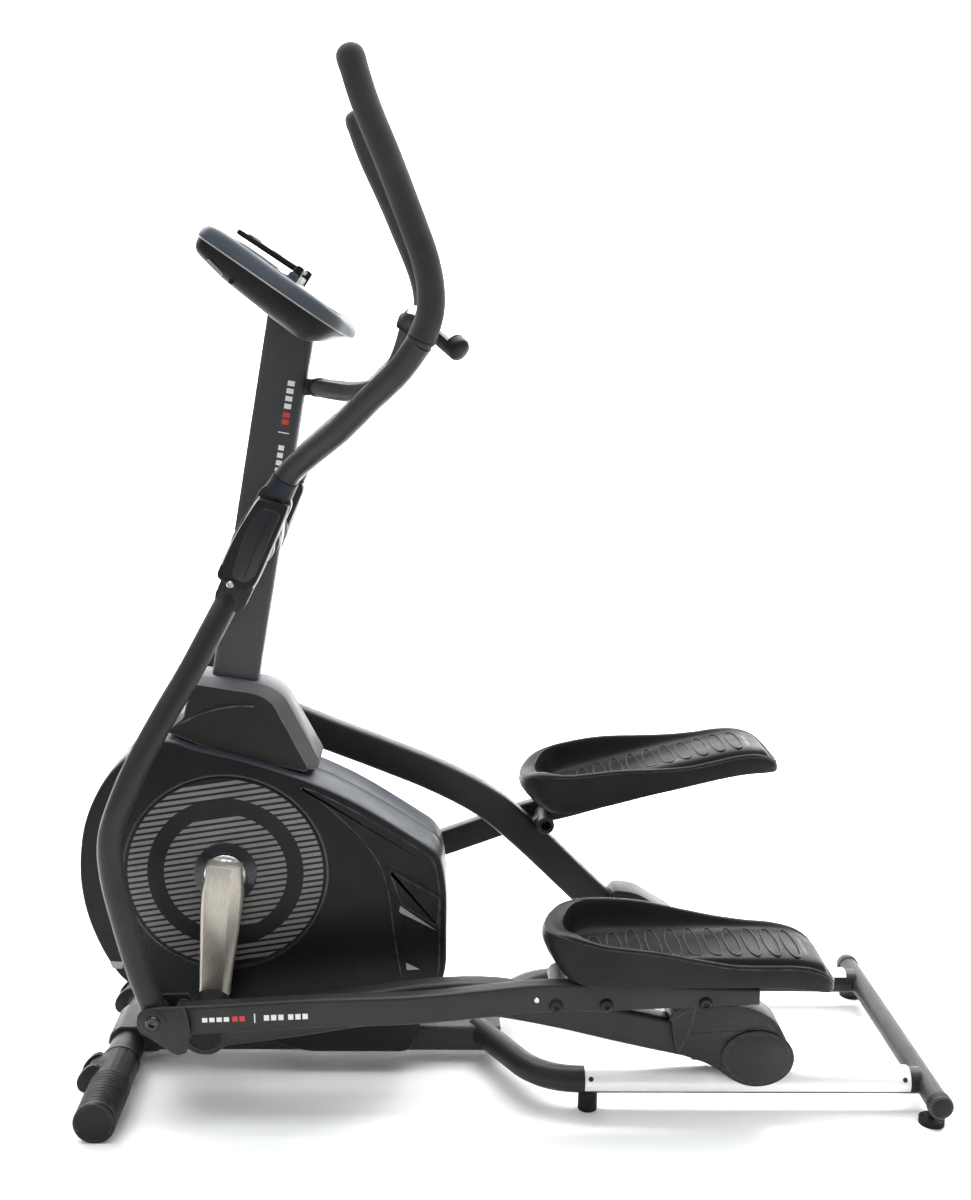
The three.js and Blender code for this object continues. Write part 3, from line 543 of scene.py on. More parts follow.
def bolt(x, z, y0, y1, r):
    """A domed button head with a round recess, its outer face towards larger Y."""
    depth = y1 - y0
    profile = [[0.01, y0], [r, y0], [r, y0 + depth * 0.35], [r * 0.93, y0 + depth * 0.7], [r * 0.72, y1],
               [r * 0.46, y1], [r * 0.42, y1 - depth * 0.5], [0.01, y1 - depth * 0.5]]
    return turned(x, z, profile, 24)


def repaint(name, material, bevel=0.0):
    """A CAD node whose shape is right keeps it and gets its real finish."""
    obj = NODES[name]
    for i in range(len(obj.material_slots)):
        obj.material_slots[i].material = MAT[material]
    if bevel:
        soften(obj, bevel, 40)


# ---- housing, disc, collar ------------------------------------------------------------------------
HOUSING = arc_outline([
    [-239, 355, 60], [-229, 440, 60], [-192, 515, 50], [-138, 565, 36], [-92, 580, 26], [-50, 563, 40],
    [32, 545, 60], [132, 513, 60], [205, 480, 60], [276, 437, 60], [348, 390, 24], [360, 330, 40],
    [362, 170, 40], [318, 92, 30], [310, 38, 34], [120, 38, 30], [36, 69, 30], [-168, 157, 40],
    [-203, 212, 40], [-230, 282, 60],
], 30, 10)


def housing_shell():
    """Open towards the middle of the machine, with a rounded outer edge."""
    rings = []
    for y, distance in ((0.3, 6.0), (0.3, 1.6), (1.6, 0.3), (3.0, 0.0), (30, 0.0), (60, 0.4), (70, 1.0),
                        (74, 1.9), (76.5, 3.4), (77.6, 5.0), (78, 6.6)):
        rings.append([(p.x, y, p.y) for p in inset(HOUSING, distance)])
    form = Form().rings(rings, closed_ends=False)
    n = len(HOUSING)
    last = (len(rings) - 1) * n
    form.faces.append(tuple(last + i for i in range(n)))
    return form


PANEL = arc_outline([
    [116, 500, 20], [150, 478, 30], [194, 438, 40], [228, 402, 40], [252, 364, 30], [264, 318, 30],
    [272, 250, 40], [284, 180, 40], [300, 112, 30], [318, 110, 20], [350, 176, 30], [349, 330, 30],
    [338, 382, 20], [272, 424, 40], [202, 466, 40], [136, 498, 20],
], 20, 8)


def bead(points, r, y, n=10):
    """A thin round line through (x, z) points at one Y."""
    return sweep([Vector((x, y, z)) for x, z in points], r, n)


for side in SIDES:
    sided("housing_shell", side, housing_shell(), "frame", "housing", ("housing",), 26)
    sided("housing_panel", side, slab(PANEL, 77.4, 78.8, 1.0, 4, 3.5), "frame", "housing",
          (), 60)
    vent = bead([(282, 299), (262, 330), (258.9, 366), (262, 367), (300, 348), (347, 317)], 1.3, 79.0)
    vent.joined(bead([(287.5, 285), (291, 266), (293.6, 201)], 1.1, 79.0))
    sided("housing_vent_line", side, vent, "frame", "disc")
    well = arc_outline([[263, 362, 6], [284, 302, 4], [345, 262, 8], [349, 314, 6]], 5, 4)
    sided("housing_vent", side, slab(well, 78.2, 79.3, 0.7, 2, 5.0), "frame", "plastic",
          (), 60)
    slash = arc_outline([[283, 300, 1], [343.5, 257, 1], [287, 286, 3], [281, 290, 2]], 1, 3)
    small = arc_outline([[293.5, 201, 1], [317, 189, 1], [294.5, 188, 2]], 1, 3)
    slot_plate = arc_outline([[-191, 200, 1.5], [-169, 199, 1.5], [-170, 187, 1.5], [-186, 187, 1.5]],
                             1.5, 3)
    marks = slab(slash, 78.8, 79.9, 0.3, 1).joined(slab(small, 78.8, 79.9, 0.3, 1))
    sided("housing_slash", side, marks, "frame", "lip")
    sided("housing_slot", side, slab(slot_plate, 77.8, 78.6, 0.3, 1), "frame", "lip")
    disc_form = turned(0, AXLE_Z, [[20.5, 78.5], [160, 78.5], [161, 79.3], [161, 80.4], [160, 81.0],
                                   [158.6, 81.0], [158, 80.5], [20.5, 80.5]], 120)
    sided("side_disc_cover", side, disc_form, "frame", "disc", ("side_disc",))
    groove = turned(0, AXLE_Z, [[162.2, 77.8], [166.5, 77.8], [166.5, 78.9], [165.3, 79.4], [162.9, 79.4],
                                [162.2, 78.9]], 120)
    sided("disc_rim", side, groove, "frame", "gloss")

STRIPE_TIP = math.radians(9.0)
STRIPE_STEP = 9.9
STRIPE_HALF = 2.9


def stripe(spans):
    """One raised stripe of the side disc, its outline tipped with the others."""
    c, s = math.cos(STRIPE_TIP), math.sin(STRIPE_TIP)
    return slab([Vector((u * c - v * s, AXLE_Z + u * s + v * c)) for u, v in spans], 80.4, 80.95)


for side in SIDES:
    stripes = Form()
    for k in range(-16, 17):
        v0, v1 = k * STRIPE_STEP - STRIPE_HALF, k * STRIPE_STEP + STRIPE_HALF
        steps = [v0 + (v1 - v0) * i / 3 for i in range(4)]
        for inner, outer in ((0.0, 99.0), (126.0, 157.6)):
            if max(abs(v0), abs(v1)) > outer - 2:
                continue
            far = [math.sqrt(outer ** 2 - v * v) for v in steps]
            if inner == 0.0 or min(abs(v0), abs(v1)) > inner or max(abs(v0), abs(v1)) > inner - 1:
                back = [(-x, v) for x, v in reversed(list(zip(far, steps)))]
                stripes.joined(stripe(list(zip(far, steps)) + back))
                continue
            near = [math.sqrt(max(inner ** 2 - v * v, 0)) for v in steps]
            for s in (1, -1):
                out = [(s * x, v) for x, v in zip(far, steps)]
                back = [(s * x, v) for x, v in reversed(list(zip(near, steps)))]
                stripes.joined(stripe(out + back))
    sided("disc_stripes", side, stripes, "frame", "stripe", (), 20)


def collar():
    """Near face, sloping back band and top, narrowing towards the mast."""
    face = arc_outline([
        [-95, 584, 8], [-67, 607, 6], [-66, 620, 10], [-54, 661, 12], [50, 646, 14], [74, 632, 16],
        [132, 524, 8], [126, 520, 5], [32, 541, 20], [-32, 559, 20],
    ], 10, 8)
    wide = []
    for i, p in enumerate(face):
        a = (p - face[i - 1]).normalized()
        b = (face[(i + 1) % len(face)] - p).normalized()
        sign = 1 if area(face) > 0 else -1
        normal = (Vector((a.y + b.y, -(a.x + b.x))) * sign).normalized()
        grow = 2.0 + 14.0 * max(0.0, normal.x) + 9.0 * max(0.0, normal.y)
        if normal.y < -0.3:
            grow = -3.0
        wide.append(p + normal * grow)
    rings = []
    for y, t in ((-60, 0.0), (-57, 0.14), (-43, 0.92), (-40, 1.0), (40, 1.0), (43, 0.92), (57, 0.14),
                 (60, 0.0)):
        ring = []
        for p, q in zip(face, wide):
            m = p.lerp(q, t)
            k = min(max((m.y - 575) / 95, 0), 1)
            ring.append((m.x, y * (1 - 0.20 * k), m.y))
        rings.append(ring)
    return Form().rings(rings)


BAND_Y = (41.5, 57.5)
BAND_FROM_X = 52
collar_obj = piece("collar_cover_shell", collar(), "frame", "collar",
                   ("collar_cover",), 30)
collar_obj.data.materials.append(MAT["band"])
for polygon in collar_obj.data.polygons:
    c = polygon.center
    on_band = BAND_Y[0] < abs(c.y) * 1000 < BAND_Y[1] and c.x * 1000 + CENTRE_X > BAND_FROM_X
    if on_band and len(polygon.vertices) == 4 and polygon.normal.x > 0.15:
        polygon.material_index = 1
for side in SIDES:
    crease = bead([(-84, 592), (-60, 604), (-36, 615), (-10, 623), (16, 627), (44, 627)], 1.2, 56.4, 8)
    edge_line = [(78, 640), (84, 634), (100, 606), (118, 573), (134, 543), (143, 524)]
    path = [Vector((x, 45.0 - 8 * max(0.0, (z - 575) / 95), z)) for x, z in edge_line]
    crease.joined(sweep(path, 1.0, 8))
    sided("collar_crease", side, crease, "frame", "collar")

# ---- mast -----------------------------------------------------------------------------------------
SLOPE = math.radians(9.1)
CONSOLE = math.radians(-33)
CONSOLE_X = -29
CONSOLE_Z = 1360
MAST_DIR = Vector((math.sin(SLOPE), 0, math.cos(SLOPE)))
MAST_FOOT = Vector((-0.6, 0, 601))


def rounded_section(a, b, r, steps=6):
    """A rectangle of half widths a and b with corners of radius r."""
    out = []
    for cx, cy, start in ((a - r, b - r, 0), (-a + r, b - r, 90), (-a + r, -b + r, 180),
                          (a - r, -b + r, 270)):
        for k in range(steps + 1):
            t = math.radians(start + 90 * k / steps)
            out.append((cx + r * math.cos(t), cy + r * math.sin(t)))
    return out


def mast_ring(distance, grow=0.0, lift=None):
    """A ring round the mast: square to it, or cut parallel to the console at a lift above its origin."""
    ring = []
    for a, b in rounded_section(38 + grow, 21 + grow, 9 + grow):
        base = MAST_FOOT + Vector((a * math.cos(SLOPE), b, -a * math.sin(SLOPE)))
        d = distance
        if lift is not None:
            nx, nz = -math.sin(CONSOLE), math.cos(CONSOLE)
            rise = (CONSOLE_X + nx * lift - base.x) * nx + (CONSOLE_Z + nz * lift - base.z) * nz
            d = rise / (MAST_DIR.x * nx + MAST_DIR.z * nz)
        ring.append(base + MAST_DIR * d)
    return ring


mast_form = Form().rings([mast_ring(6), mast_ring(300), mast_ring(560), mast_ring(0, 0, -12.5)])
mast_form.joined(turned(*SWING, [[0.01, -30], [33, -30], [34, -29], [34, 29], [33, 30], [0.01, 30]], 56))
piece("mast_tube", mast_form, "frame", "mast", ("mast",), 35)
lip = Form().rings([mast_ring(58, 1), mast_ring(58, 4.5), mast_ring(61.5, 4.5), mast_ring(62.5, 3.4),
                    mast_ring(62.5, 1)])
piece("mast_foot_lip", lip, "frame", "lip", (), 50)


def printed(strips, y):
    """Flat printed marks on a side face: each strip is (centre, along, half length, across, half width)."""
    form = Form()
    for c, u, half, v, wide in strips:
        a, b = u * half, v * wide
        corners = [c - a - b, c + a - b, c + a + b, c - a + b]
        form.add([Vector((q.x, y, q.z)) for q in corners] + [Vector((q.x, y - 0.35, q.z)) for q in corners],
                 [(0, 1, 2, 3), (4, 7, 6, 5), (0, 4, 5, 1), (1, 5, 6, 2), (2, 6, 7, 3), (3, 7, 4, 0)])
    return form


MAST_SIDE = Vector((math.cos(SLOPE), 0, -math.sin(SLOPE)))
MARK_START = MAST_FOOT + MAST_SIDE * 16
pale, red = [], []
for d in (548, 536, 524, 512):
    pale.append((MARK_START + MAST_DIR * d, MAST_DIR, 4, MAST_SIDE, 5.5))
pale.append((MARK_START + MAST_DIR * 470, MAST_SIDE, 8.5, MAST_DIR, 0.8))
for d in (446, 434, 422, 410, 398):
    pale.append((MARK_START + MAST_DIR * d, MAST_DIR, 4, MAST_SIDE, 4.5))
for d in (498, 487):
    red.append((MARK_START + MAST_DIR * d, MAST_DIR, 4, MAST_SIDE, 5.5))
piece("mast_mark", printed(pale, -20.9), "frame", "print")
piece("mast_mark_red", printed(red, -20.9), "frame", "red_print")

# ---- cranks ---------------------------------------------------------------------------------------
for side in SIDES:
    rings = []
    for x, low, high, top, low_edge in ((-26, -24, 24, 112, 3), (-23, -27, 28, 118.5, 4),
                                        (-6, -28, 30, 121.6, 5), (26, -32, 33.5, 122, 5),
                                        (60, -31.5, 32.5, 121, 5), (110, -29, 29, 119, 5),
                                        (160, -26.5, 25.5, 117, 4), (190, -25, 24, 116, 4),
                                        (199, -25.5, 24.5, 115.8, 4)):
        split = 15 if x < 30 else 14
        rings.append([(x, 92.5, low), (x, top - 9, low), (x, top - 3, low + 1.6),
                      (x, top - 0.6, low + low_edge), (x, top, low + low_edge + 1.5), (x, top, split - 1.5),
                      (x, top - 0.7, split), (x, top - 8, high - 3), (x, top - 11, high - 0.8),
                      (x, top - 14, high), (x, 92.5, high)])
    cover = sided("crank_cover", side, Form().rings(rings), "crank_set", "crank",
                  ("crank",), 24)
    soften(cover, 0.8, 32)
    boss = turned(0, 0, [[12.4, 84], [32, 84], [33.4, 85.2], [33.4, 90.5], [31, 93.4], [28, 94.4],
                         [26, 97.5], [12.4, 98]], 56)
    sided("crank_boss", side, boss, "crank_set", "metal")
    nut = turned(0, 0, [[12.6, 81.2], [49, 81.2], [51, 81.9], [51, 83.2], [48, 85.0], [38, 86.0],
                        [36, 87.6], [12.6, 87.6]], 64)
    sided("crank_hub", side, nut, "crank_set", "gloss")
    pin = turned(THROW, 0, [[0.01, 92.5], [24, 92.5], [25, 93.5], [25, 114], [23.5, 116], [12, 116.6],
                            [0.01, 116.6]], 48)
    sided("crank_pin_boss", side, pin, "crank_set", "steel", (), 40)

# ---- roller arms ----------------------------------------------------------------------------------
ARM_CENTRE = [(26, 3), (130, 22), (240, 45), (350, 65), (445, 72), (540, 60), (680, 33), (806, 11)]
COVER = [[728, 66, 12], [762, 84, 30], [850, 87, 40], [898, 66, 30], [922, 20, 30], [925, -24, 24],
         [896, -48, 18], [846, -48, 24], [806, -17, 30], [742, 2, 12]]
for side in SIDES:
    path = along([(x, RAIL_Y, z) for x, z in ARM_CENTRE], 60)
    beam = sweep(path, 1.0, section=rounded_section(17, 29, 8.5, 5))
    eye = turned(0, 0, [[0.01, 128.5], [36, 128.5], [39.4, 130], [40, 132], [40, 194], [39, 196.6],
                        [36, 198], [30, 198], [28.5, 196.4], [0.01, 196.4]], 64)
    sleeve = turned(551.5, 101.7, [[9, 142], [14.5, 142], [15.5, 143], [15.5, 213], [14.5, 214], [9, 214]],
                    40)
    rest = slab(arc_outline([[531, 80], [572, 74], [566, 100], [537, 104]], 3, 3), 168, 192, 1.0, 2)
    plate = arc_outline([[770, -14, 4], [873, -20, 18], [893, -8, 14], [893, 12, 14], [873, 21, 16],
                         [770, 40, 6]], 6, 4)
    plates = slab(plate, 164, 168.5, 0.8, 1).joined(slab(plate, 191.5, 196, 0.8, 1))
    form = beam.joined(eye).joined(sleeve).joined(rest).joined(plates)
    sided("roller_arm_beam", side, form, "arm", "steel", ("roller_arm",), 34)
    cap = turned(0, 0, [[0.01, 196.2], [27.6, 196.2], [27.6, 198.2], [25, 200], [12, 200.6], [0.01, 200.6]],
                 48)
    sided("crank_eye_cap", side, cap, "arm", "plastic")
    body = arc_outline(COVER, 14, 10)
    near = slab(body, 203.9, 206.2, 1.9, 4)
    hood = arc_outline([[728, 66, 12], [762, 84, 30], [850, 87, 40], [898, 66, 30], [922, 24, 26],
                        [923.5, 7, 4], [913, 5, 2], [909, 20, 20], [890, 56, 30], [838, 78, 30],
                        [762, 76, 30], [740, 62, 2], [728, 50, 2]], 12, 8)
    shell = slab(hood, 152.2, 205.0, 2.5, 3)
    inner_side = arc_outline([[728, 66, 12], [762, 84, 30], [850, 87, 40], [898, 66, 30], [922, 24, 26],
                              [923, 8, 4], [896, -10, 6], [872, -21, 6], [800, -21, 4], [742, 2, 12]],
                             12, 8)
    far = slab(inner_side, 152.0, 156.5, 1.5, 2)
    drum = slab(ellipse(873, 0, 59, 72, 48), 204.2, 211, 2.4, 4)
    ring = slab(ellipse(873, 0, 51, 72, 41), 209.5, 211.8, 0.9, 2)
    form = near.joined(shell).joined(far).joined(drum).joined(ring)
    sided("roller_cover_shell", side, form, "arm", "steel", ("roller_cover",), 30)
    seam = bead([(748, 5), (757, 30), (764, 56), (768, 83)], 1.0, 205.9, 8)
    seam.joined(bead([(748, 34), (800, 40), (840, 44), (868, 52)], 0.9, 206.0, 8))
    sided("roller_cover_seam", side, seam, "arm", "gloss")
    repaint(f"roller_{side}", "rubber", 0.6)
    repaint(f"roller_axle_{side}", "metal", 0.4)

# ---- pedal bars and pedals ------------------------------------------------------------------------
BAR_CENTRE = [(-52, 177), (20, 181), (135, 189), (318, 197), (420, 208), (502, 217), (620, 219), (844, 222)]
BAR_FACE = 242.0
LUG = [[-86, 206, 22], [-110, 200, 12], [-112, 168, 20], [-88, 154, 10], [-52, 128, 5], [-36, 132, 5],
       [-30, 168, 6], [-38, 208, 8]]


def bar_mark(x):
    """The middle of a printed mark, on a line that rises with the bar."""
    return Vector((x, 0, 180.5 + 0.045 * (x + 10)))


for side in SIDES:
    path = along([(x, BAR_Y, z) for x, z in BAR_CENTRE], 64)
    last = len(path) - 1
    rings = []
    for i, p in enumerate(path):
        u = i / last
        t = (path[min(i + 1, last)] - path[max(i - 1, 0)]).normalized()
        up = Vector((-t.z, 0, t.x))
        half = (47 - 19 * min(max((u - 0.7) / 0.3, 0), 1)) / 2
        rings.append([p + Vector((0, a, 0)) + up * b for a, b in rounded_section(13, half, 5.5, 5)])
    lug = arc_outline(LUG, 10, 6)
    form = Form().rings(rings)
    form.joined(slab(lug, 248.8, 254.8, 1.2, 2)).joined(slab(lug, 202.4, 208.8, 1.2, 2))
    neck = arc_outline([[-53, 160, 3], [-40, 160, 3], [-40, 198, 3], [-53, 198, 3]], 3, 3)
    form.joined(slab(neck, 204, 253, 1.0, 1))
    sided("pedal_bar_beam", side, form, "pedal_bar", "steel", ("pedal_bar",), 34)
    hx, hz = HINGE_LEFT
    head = bolt(hx, hz, 254.6, 262.5, 12)
    washer = turned(hx, hz, [[11.5, 254.2], [18.2, 254.2], [19, 255], [19, 256.6], [18.2, 257.2],
                             [11.5, 257.2]], 48)
    back = turned(hx, hz, [[0.01, 199.4], [10, 199.4], [11, 200.4], [11, 202.6], [0.01, 202.6]], 32)
    sided("fork_bolt", side, head.joined(back), "pedal_bar", "gloss")
    sided("fork_washer", side, washer, "pedal_bar", "steel", (), 40)
    repaint(f"pivot_bush_{side}", "metal", 0.3)
    marks, reds = [], []
    flat_dir, flat_up = Vector((1, 0, 0.03)).normalized(), Vector((-0.03, 0, 1)).normalized()
    for x, half, tall in ((-10, 4, 3.6), (1, 4, 3.6), (12, 4, 3.6), (23, 4, 3.6), (66, 0.9, 7.5),
                          (84, 4, 4.4), (95, 4, 4.4), (106, 4, 4.4), (121, 4, 4.4), (132, 4, 4.4),
                          (143, 4, 4.4)):
        marks.append((bar_mark(x), flat_dir, half, flat_up, tall))
    for x in (36, 47):
        reds.append((bar_mark(x), flat_dir, 4, flat_up, 4.2))
    for tag, strips, paint in (("", marks, "print"), ("_red", reds, "red_print")):
        form = printed(strips, 0.0).moved(lambda p: Vector((p.x, BAR_FACE - p.y, p.z)))
        sided(f"bar_mark{tag}", side, form, "pedal_bar", paint)
    bolts = Form()
    for x, z in ((528, 206), (606, 208), (760, 211)):
        bolts.joined(bolt(x, z, 241.6, 247.4, 10.6))
    sided("pedal_bolts", side, bolts, "pedal_bar", "plastic")
    screw = bolt(498, 216, 241.6, 244.6, 4.6)
    sided("hinge_screw", side, screw, "pedal_bar", "metal")


RIM_OUTER = [(506, 316), (530, 321), (566, 317), (602, 309.5), (645, 304), (683, 299), (745, 286.5),
             (804, 277), (850, 275.5), (895, 275), (928, 270), (952, 258), (966, 244)]
RIM_INNER = [(506, 316), (530, 325), (566, 328), (602, 329), (645, 328), (688, 323), (740, 312.5),
             (790, 303), (837, 296.5), (890, 292), (926, 282), (952, 264), (966, 244)]
UNDER = [(506, 272), (522, 254), (566, 243), (760, 239), (900, 236.5), (966, 226)]
HALF_PLAN = along([(506.5, 1.5, 0), (509, 22, 0), (520, 45, 0), (541, 63, 0), (575, 73.5, 0),
                   (640, 74.4, 0), (720, 72, 0), (820, 69.5, 0), (900, 67.3, 0), (938, 66, 0), (956, 60, 0),
                   (964, 46, 0), (965.5, 24, 0), (965.8, 1.5, 0)], 56)
FLOOR = [(506, 266), (540, 269), (585, 276), (640, 278.5), (700, 280.5), (800, 284), (860, 285.5),
         (900, 283.5), (930, 277), (950, 267), (966, 248)]


def pedal_floor(x, y):
    """The tread rises towards both side walls."""
    bowl = max(0.0, (abs(y) - 26) / 34)
    return between(FLOOR, x) + 7.0 * bowl * bowl * (1 - min(max((x - 760) / 80, 0), 1))


def plan_loop(half):
    """A half outline seen from above and its mirror image, as one loop."""
    near = [(p.x, p.y) for p in half]
    return near + [(x, -y) for x, y in reversed(near)]


def strip_capped(rings):
    """Skins rings that follow a plan_loop; both ends are closed with strips that run across."""
    form = Form().rings(rings, closed_ends=False)
    n = len(rings[0])
    for start, flip in ((0, True), ((len(rings) - 1) * n, False)):
        for i in range(n // 2 - 1):
            quad = (start + i, start + i + 1, start + n - 2 - i, start + n - 1 - i)
            form.faces.append(quad[::-1] if flip else quad)
    return form


def pedal_form(side):
    """The cup of a pedal: up its outer wall, over the rim and down to the tread."""
    loop = plan_loop(HALF_PLAN)
    flat_loop = [Vector(p) for p in loop]

    def rim(x, y):
        y = y if side == "left" else -y
        k = 0.5 + 0.5 * max(-1.0, min(1.0, y / 58))
        k = k * k * (3 - 2 * k)
        return between(RIM_OUTER, x) * k + between(RIM_INNER, x) * (1 - k)

    def under(x, y):
        return between(UNDER, x)

    def at_toe(x, shift):
        """The lip leans back over the toe."""
        t = min(max((x - 506) / 90, 0.0), 1.0)
        return shift * (1 - t * t * (3 - 2 * t))

    def ring(distance, toe, height):
        moved = inset(flat_loop, distance)
        return [(q.x + at_toe(x, toe), RAIL_Y + q.y, height(x, y)) for (x, y), q in zip(loop, moved)]

    def inner_ring(distance, toe, share):
        out = []
        for (x, y), q in zip(loop, inset(flat_loop, distance)):
            low = pedal_floor(q.x + at_toe(x, toe), q.y)
            out.append((q.x + at_toe(x, toe), RAIL_Y + q.y, low + (rim(x, y) - 2.0 - low) * share))
        return out

    return strip_capped([
        ring(14, 18, lambda x, y: under(x, y) + 1.0),
        ring(6, 17, under),
        ring(2.4, 15, lambda x, y: under(x, y) + 1.2),
        ring(0.9, 12, lambda x, y: under(x, y) + 4.5),
        ring(0.5, 6, lambda x, y: under(x, y) + (rim(x, y) - under(x, y)) * 0.25),
        ring(0.5, 1.0, lambda x, y: under(x, y) + (rim(x, y) - under(x, y)) * 0.5),
        ring(0.8, 0.6, lambda x, y: under(x, y) + (rim(x, y) - under(x, y)) * 0.68),
        ring(1.5, 2.6, lambda x, y: rim(x, y) - 8.0),
        ring(1.4, 3.8, lambda x, y: rim(x, y) - 6.0),
        ring(0.1, 5, lambda x, y: rim(x, y) - 5.0),
        ring(0.0, 8, lambda x, y: rim(x, y) - 2.4),
        ring(1.4, 12, lambda x, y: rim(x, y) - 0.6),
        ring(4.0, 17, rim),
        ring(6.8, 22, lambda x, y: rim(x, y) - 0.6),
        ring(8.4, 25, lambda x, y: rim(x, y) - 2.0),
        inner_ring(9.4, 26, 0.84),
        inner_ring(10.8, 25.5, 0.62),
        inner_ring(12.4, 24.5, 0.4),
        inner_ring(14.8, 23, 0.2),
        inner_ring(18.5, 20, 0.07),
        inner_ring(24.0, 16, 0.0),
        inner_ring(34.0, 10, 0.0),
        inner_ring(46.0, 4, 0.0),
    ])


def loop_tube(points, r, n=6):
    """A thin tube round a closed loop that lies nearly flat."""
    count = len(points)
    verts = []
    for i, p in enumerate(points):
        t = (points[(i + 1) % count] - points[i - 1]).normalized()
        side_way = Vector((-t.y, t.x, 0)).normalized()
        up = t.cross(side_way)
        for c, s in round_points(n):
            verts.append(p + side_way * (r * c) + up * (r * s))
    faces = []
    for i in range(count):
        j = (i + 1) % count
        for k in range(n):
            m = (k + 1) % n
            faces.append((i * n + k, j * n + k, j * n + m, i * n + m))
    return Form().add(verts, faces)


for side in SIDES:
    sided("pedal_shell", side, pedal_form(side), "pedal_bar", "pedal", ("pedal",), 42)
    relief = Form()
    for k in range(11):
        cx = 592 + 31.0 * k
        width = (34, 44, 50)[min(k, 2)]
        loop = []
        for c, s in round_points(64):
            x = cx + 10.5 * (abs(c) ** 0.85) * (1 if c > 0 else -1)
            y = width * (abs(s) ** 0.95) * (1 if s > 0 else -1)
            loop.append(Vector((x, RAIL_Y + y, pedal_floor(x, y) + 0.5)))
        relief.joined(loop_tube(loop, 1.4))
    sided("pedal_tread", side, relief, "pedal_bar", "tread", (), 60)


# ---- swinging handlebars --------------------------------------------------------------------------
HANDLE_LOWER = [(14, -112, 812), (-4, -135, 775), (-38, -165, 708), (-71, -195, 649), (-104, -220, 586),
                (-130, -229, 526), (-146, -229, 479), (-150, -229, 448), (-146, -229, 400),
                (-132, -229, 336), (-111, -229, 256), (-89, -229, 190)]
HANDLE_UPPER = [
    (90, -113, 975), (110, -125, 1009), (142, -150, 1039), (189, -190, 1079), (234, -228, 1125),
    (277, -260, 1168), (305, -281, 1207),
]
GRIP_LINE = [
    (307.5, -283.3, 1213), (318, -290, 1244), (319, -292, 1277), (311, -292, 1317), (281, -292, 1395),
    (260, -292, 1446), (227, -292, 1522), (208, -292, 1578),
]
SHROUD = [[62, 972, 10], [112, 962, 12], [60, 838, 14], [40, 826, 8], [-2, 850, 10], [30, 925, 40]]


def flat(points, y0, y1, edge, steps=3, reach=10):
    return slab(arc_outline(points, reach, 8), y0, y1, edge, steps)


for side in SIDES:
    hx, hz = HINGE_LEFT
    tube = sweep(along(HANDLE_LOWER, 110), 19.0, 36, ends=3.0)
    tube.joined(sweep(along(HANDLE_UPPER, 60), 19.0, 36, ends=2.0))
    eye = turned(hx, hz, [[7.4, -247], [17.4, -247], [18.5, -246], [18.5, -211.4], [17.4, -210.4],
                          [7.4, -210.4]], 48)
    hub = turned(*SWING, [[12.4, -108], [28.6, -108], [30, -106.6], [30, -63], [29, -62], [12.4, -62]], 56)
    plate = flat([[-8, 815], [12, 788], [38, 796], [114, 962], [94, 996], [66, 988]], -126, -98, 3.0, 3, 12)
    sided("handle_tube", side, tube.joined(eye).joined(hub).joined(plate), "handle", "steel",
          ("handlebar",), 34)
    collar_ring = turned(*SWING, [[29.5, -100], [33.4, -100], [34, -99.4], [34, -96.6], [33.4, -96],
                                  [29.5, -96]], 56)
    sided("pivot_ring", side, collar_ring, "handle", "silver")
    grip = sweep(along(GRIP_LINE, 110), lambda u: 19.5 + 0.7 * math.exp(-((u - 0.015) / 0.012) ** 2)
                 + 0.5 * math.exp(-((u - 0.985) / 0.02) ** 2), 36, ends=17.0)
    grip_obj = sided("grip_foam", side, grip, "handle", "foam", ("grip",), 60)
    start, after = along(GRIP_LINE, 110)[:2]
    grip_way = (after - start).normalized()
    ring_path = [start - grip_way * 3.5, start + grip_way * 1.5]
    sided("grip_ring", side, sweep(ring_path, 20.1, 36), "handle", "plastic", (), 50)
    shell = flat(SHROUD, -141.0, -127.2, 4.5, 4)
    skirt = flat([[56, 962, 8], [98, 954, 10], [54, 842, 10], [40, 836, 8], [10, 856, 10], [34, 920, 30]],
                 -127.5, -98.5, 1.0, 1)
    sided("shroud_shell", side, shell.joined(skirt), "handle", "plastic", ("shroud",), 32)
    panel = flat([[70, 958, 8], [99, 950, 8], [58, 852, 10], [42, 842, 8], [22, 852, 8], [44, 922, 30]],
                 -142.0, -140.2, 0.9, 3)
    sided("shroud_panel", side, panel, "handle", "gloss", (), 32)
    trims = bead([(66, 974), (58, 962), (47, 944), (36, 926), (26, 908), (15, 886), (8, 870)], 1.5,
                 -139.4, 12)
    trims.joined(bead([(110, 961), (105, 946), (92, 914), (79, 884), (68, 858), (60, 842), (55, 835)], 1.5,
                      -139.4, 12))
    sided("shroud_trim", side, trims, "handle", "silver", (), 60)
    seam = bead([(84, 950), (70, 920), (56, 886), (42, 852)], 0.7, -141.9, 8)
    sided("shroud_seam", side, seam, "handle", "disc", (), 60)
    up_line = along(HANDLE_UPPER, 60)
    entry = sweep([up_line[2] - (up_line[4] - up_line[2]) * 0.6, up_line[5]], lambda u: 22.6 - 1.8 * u, 36)
    sided("shroud_sleeve", side, entry, "handle", "blue", (), 40)
    head = bolt(21, 840, 0, 4.5, 6.0).moved(lambda p: Vector((p.x, -141.0 - p.y, p.z)))
    sided("shroud_bolt", side, head, "handle", "metal")

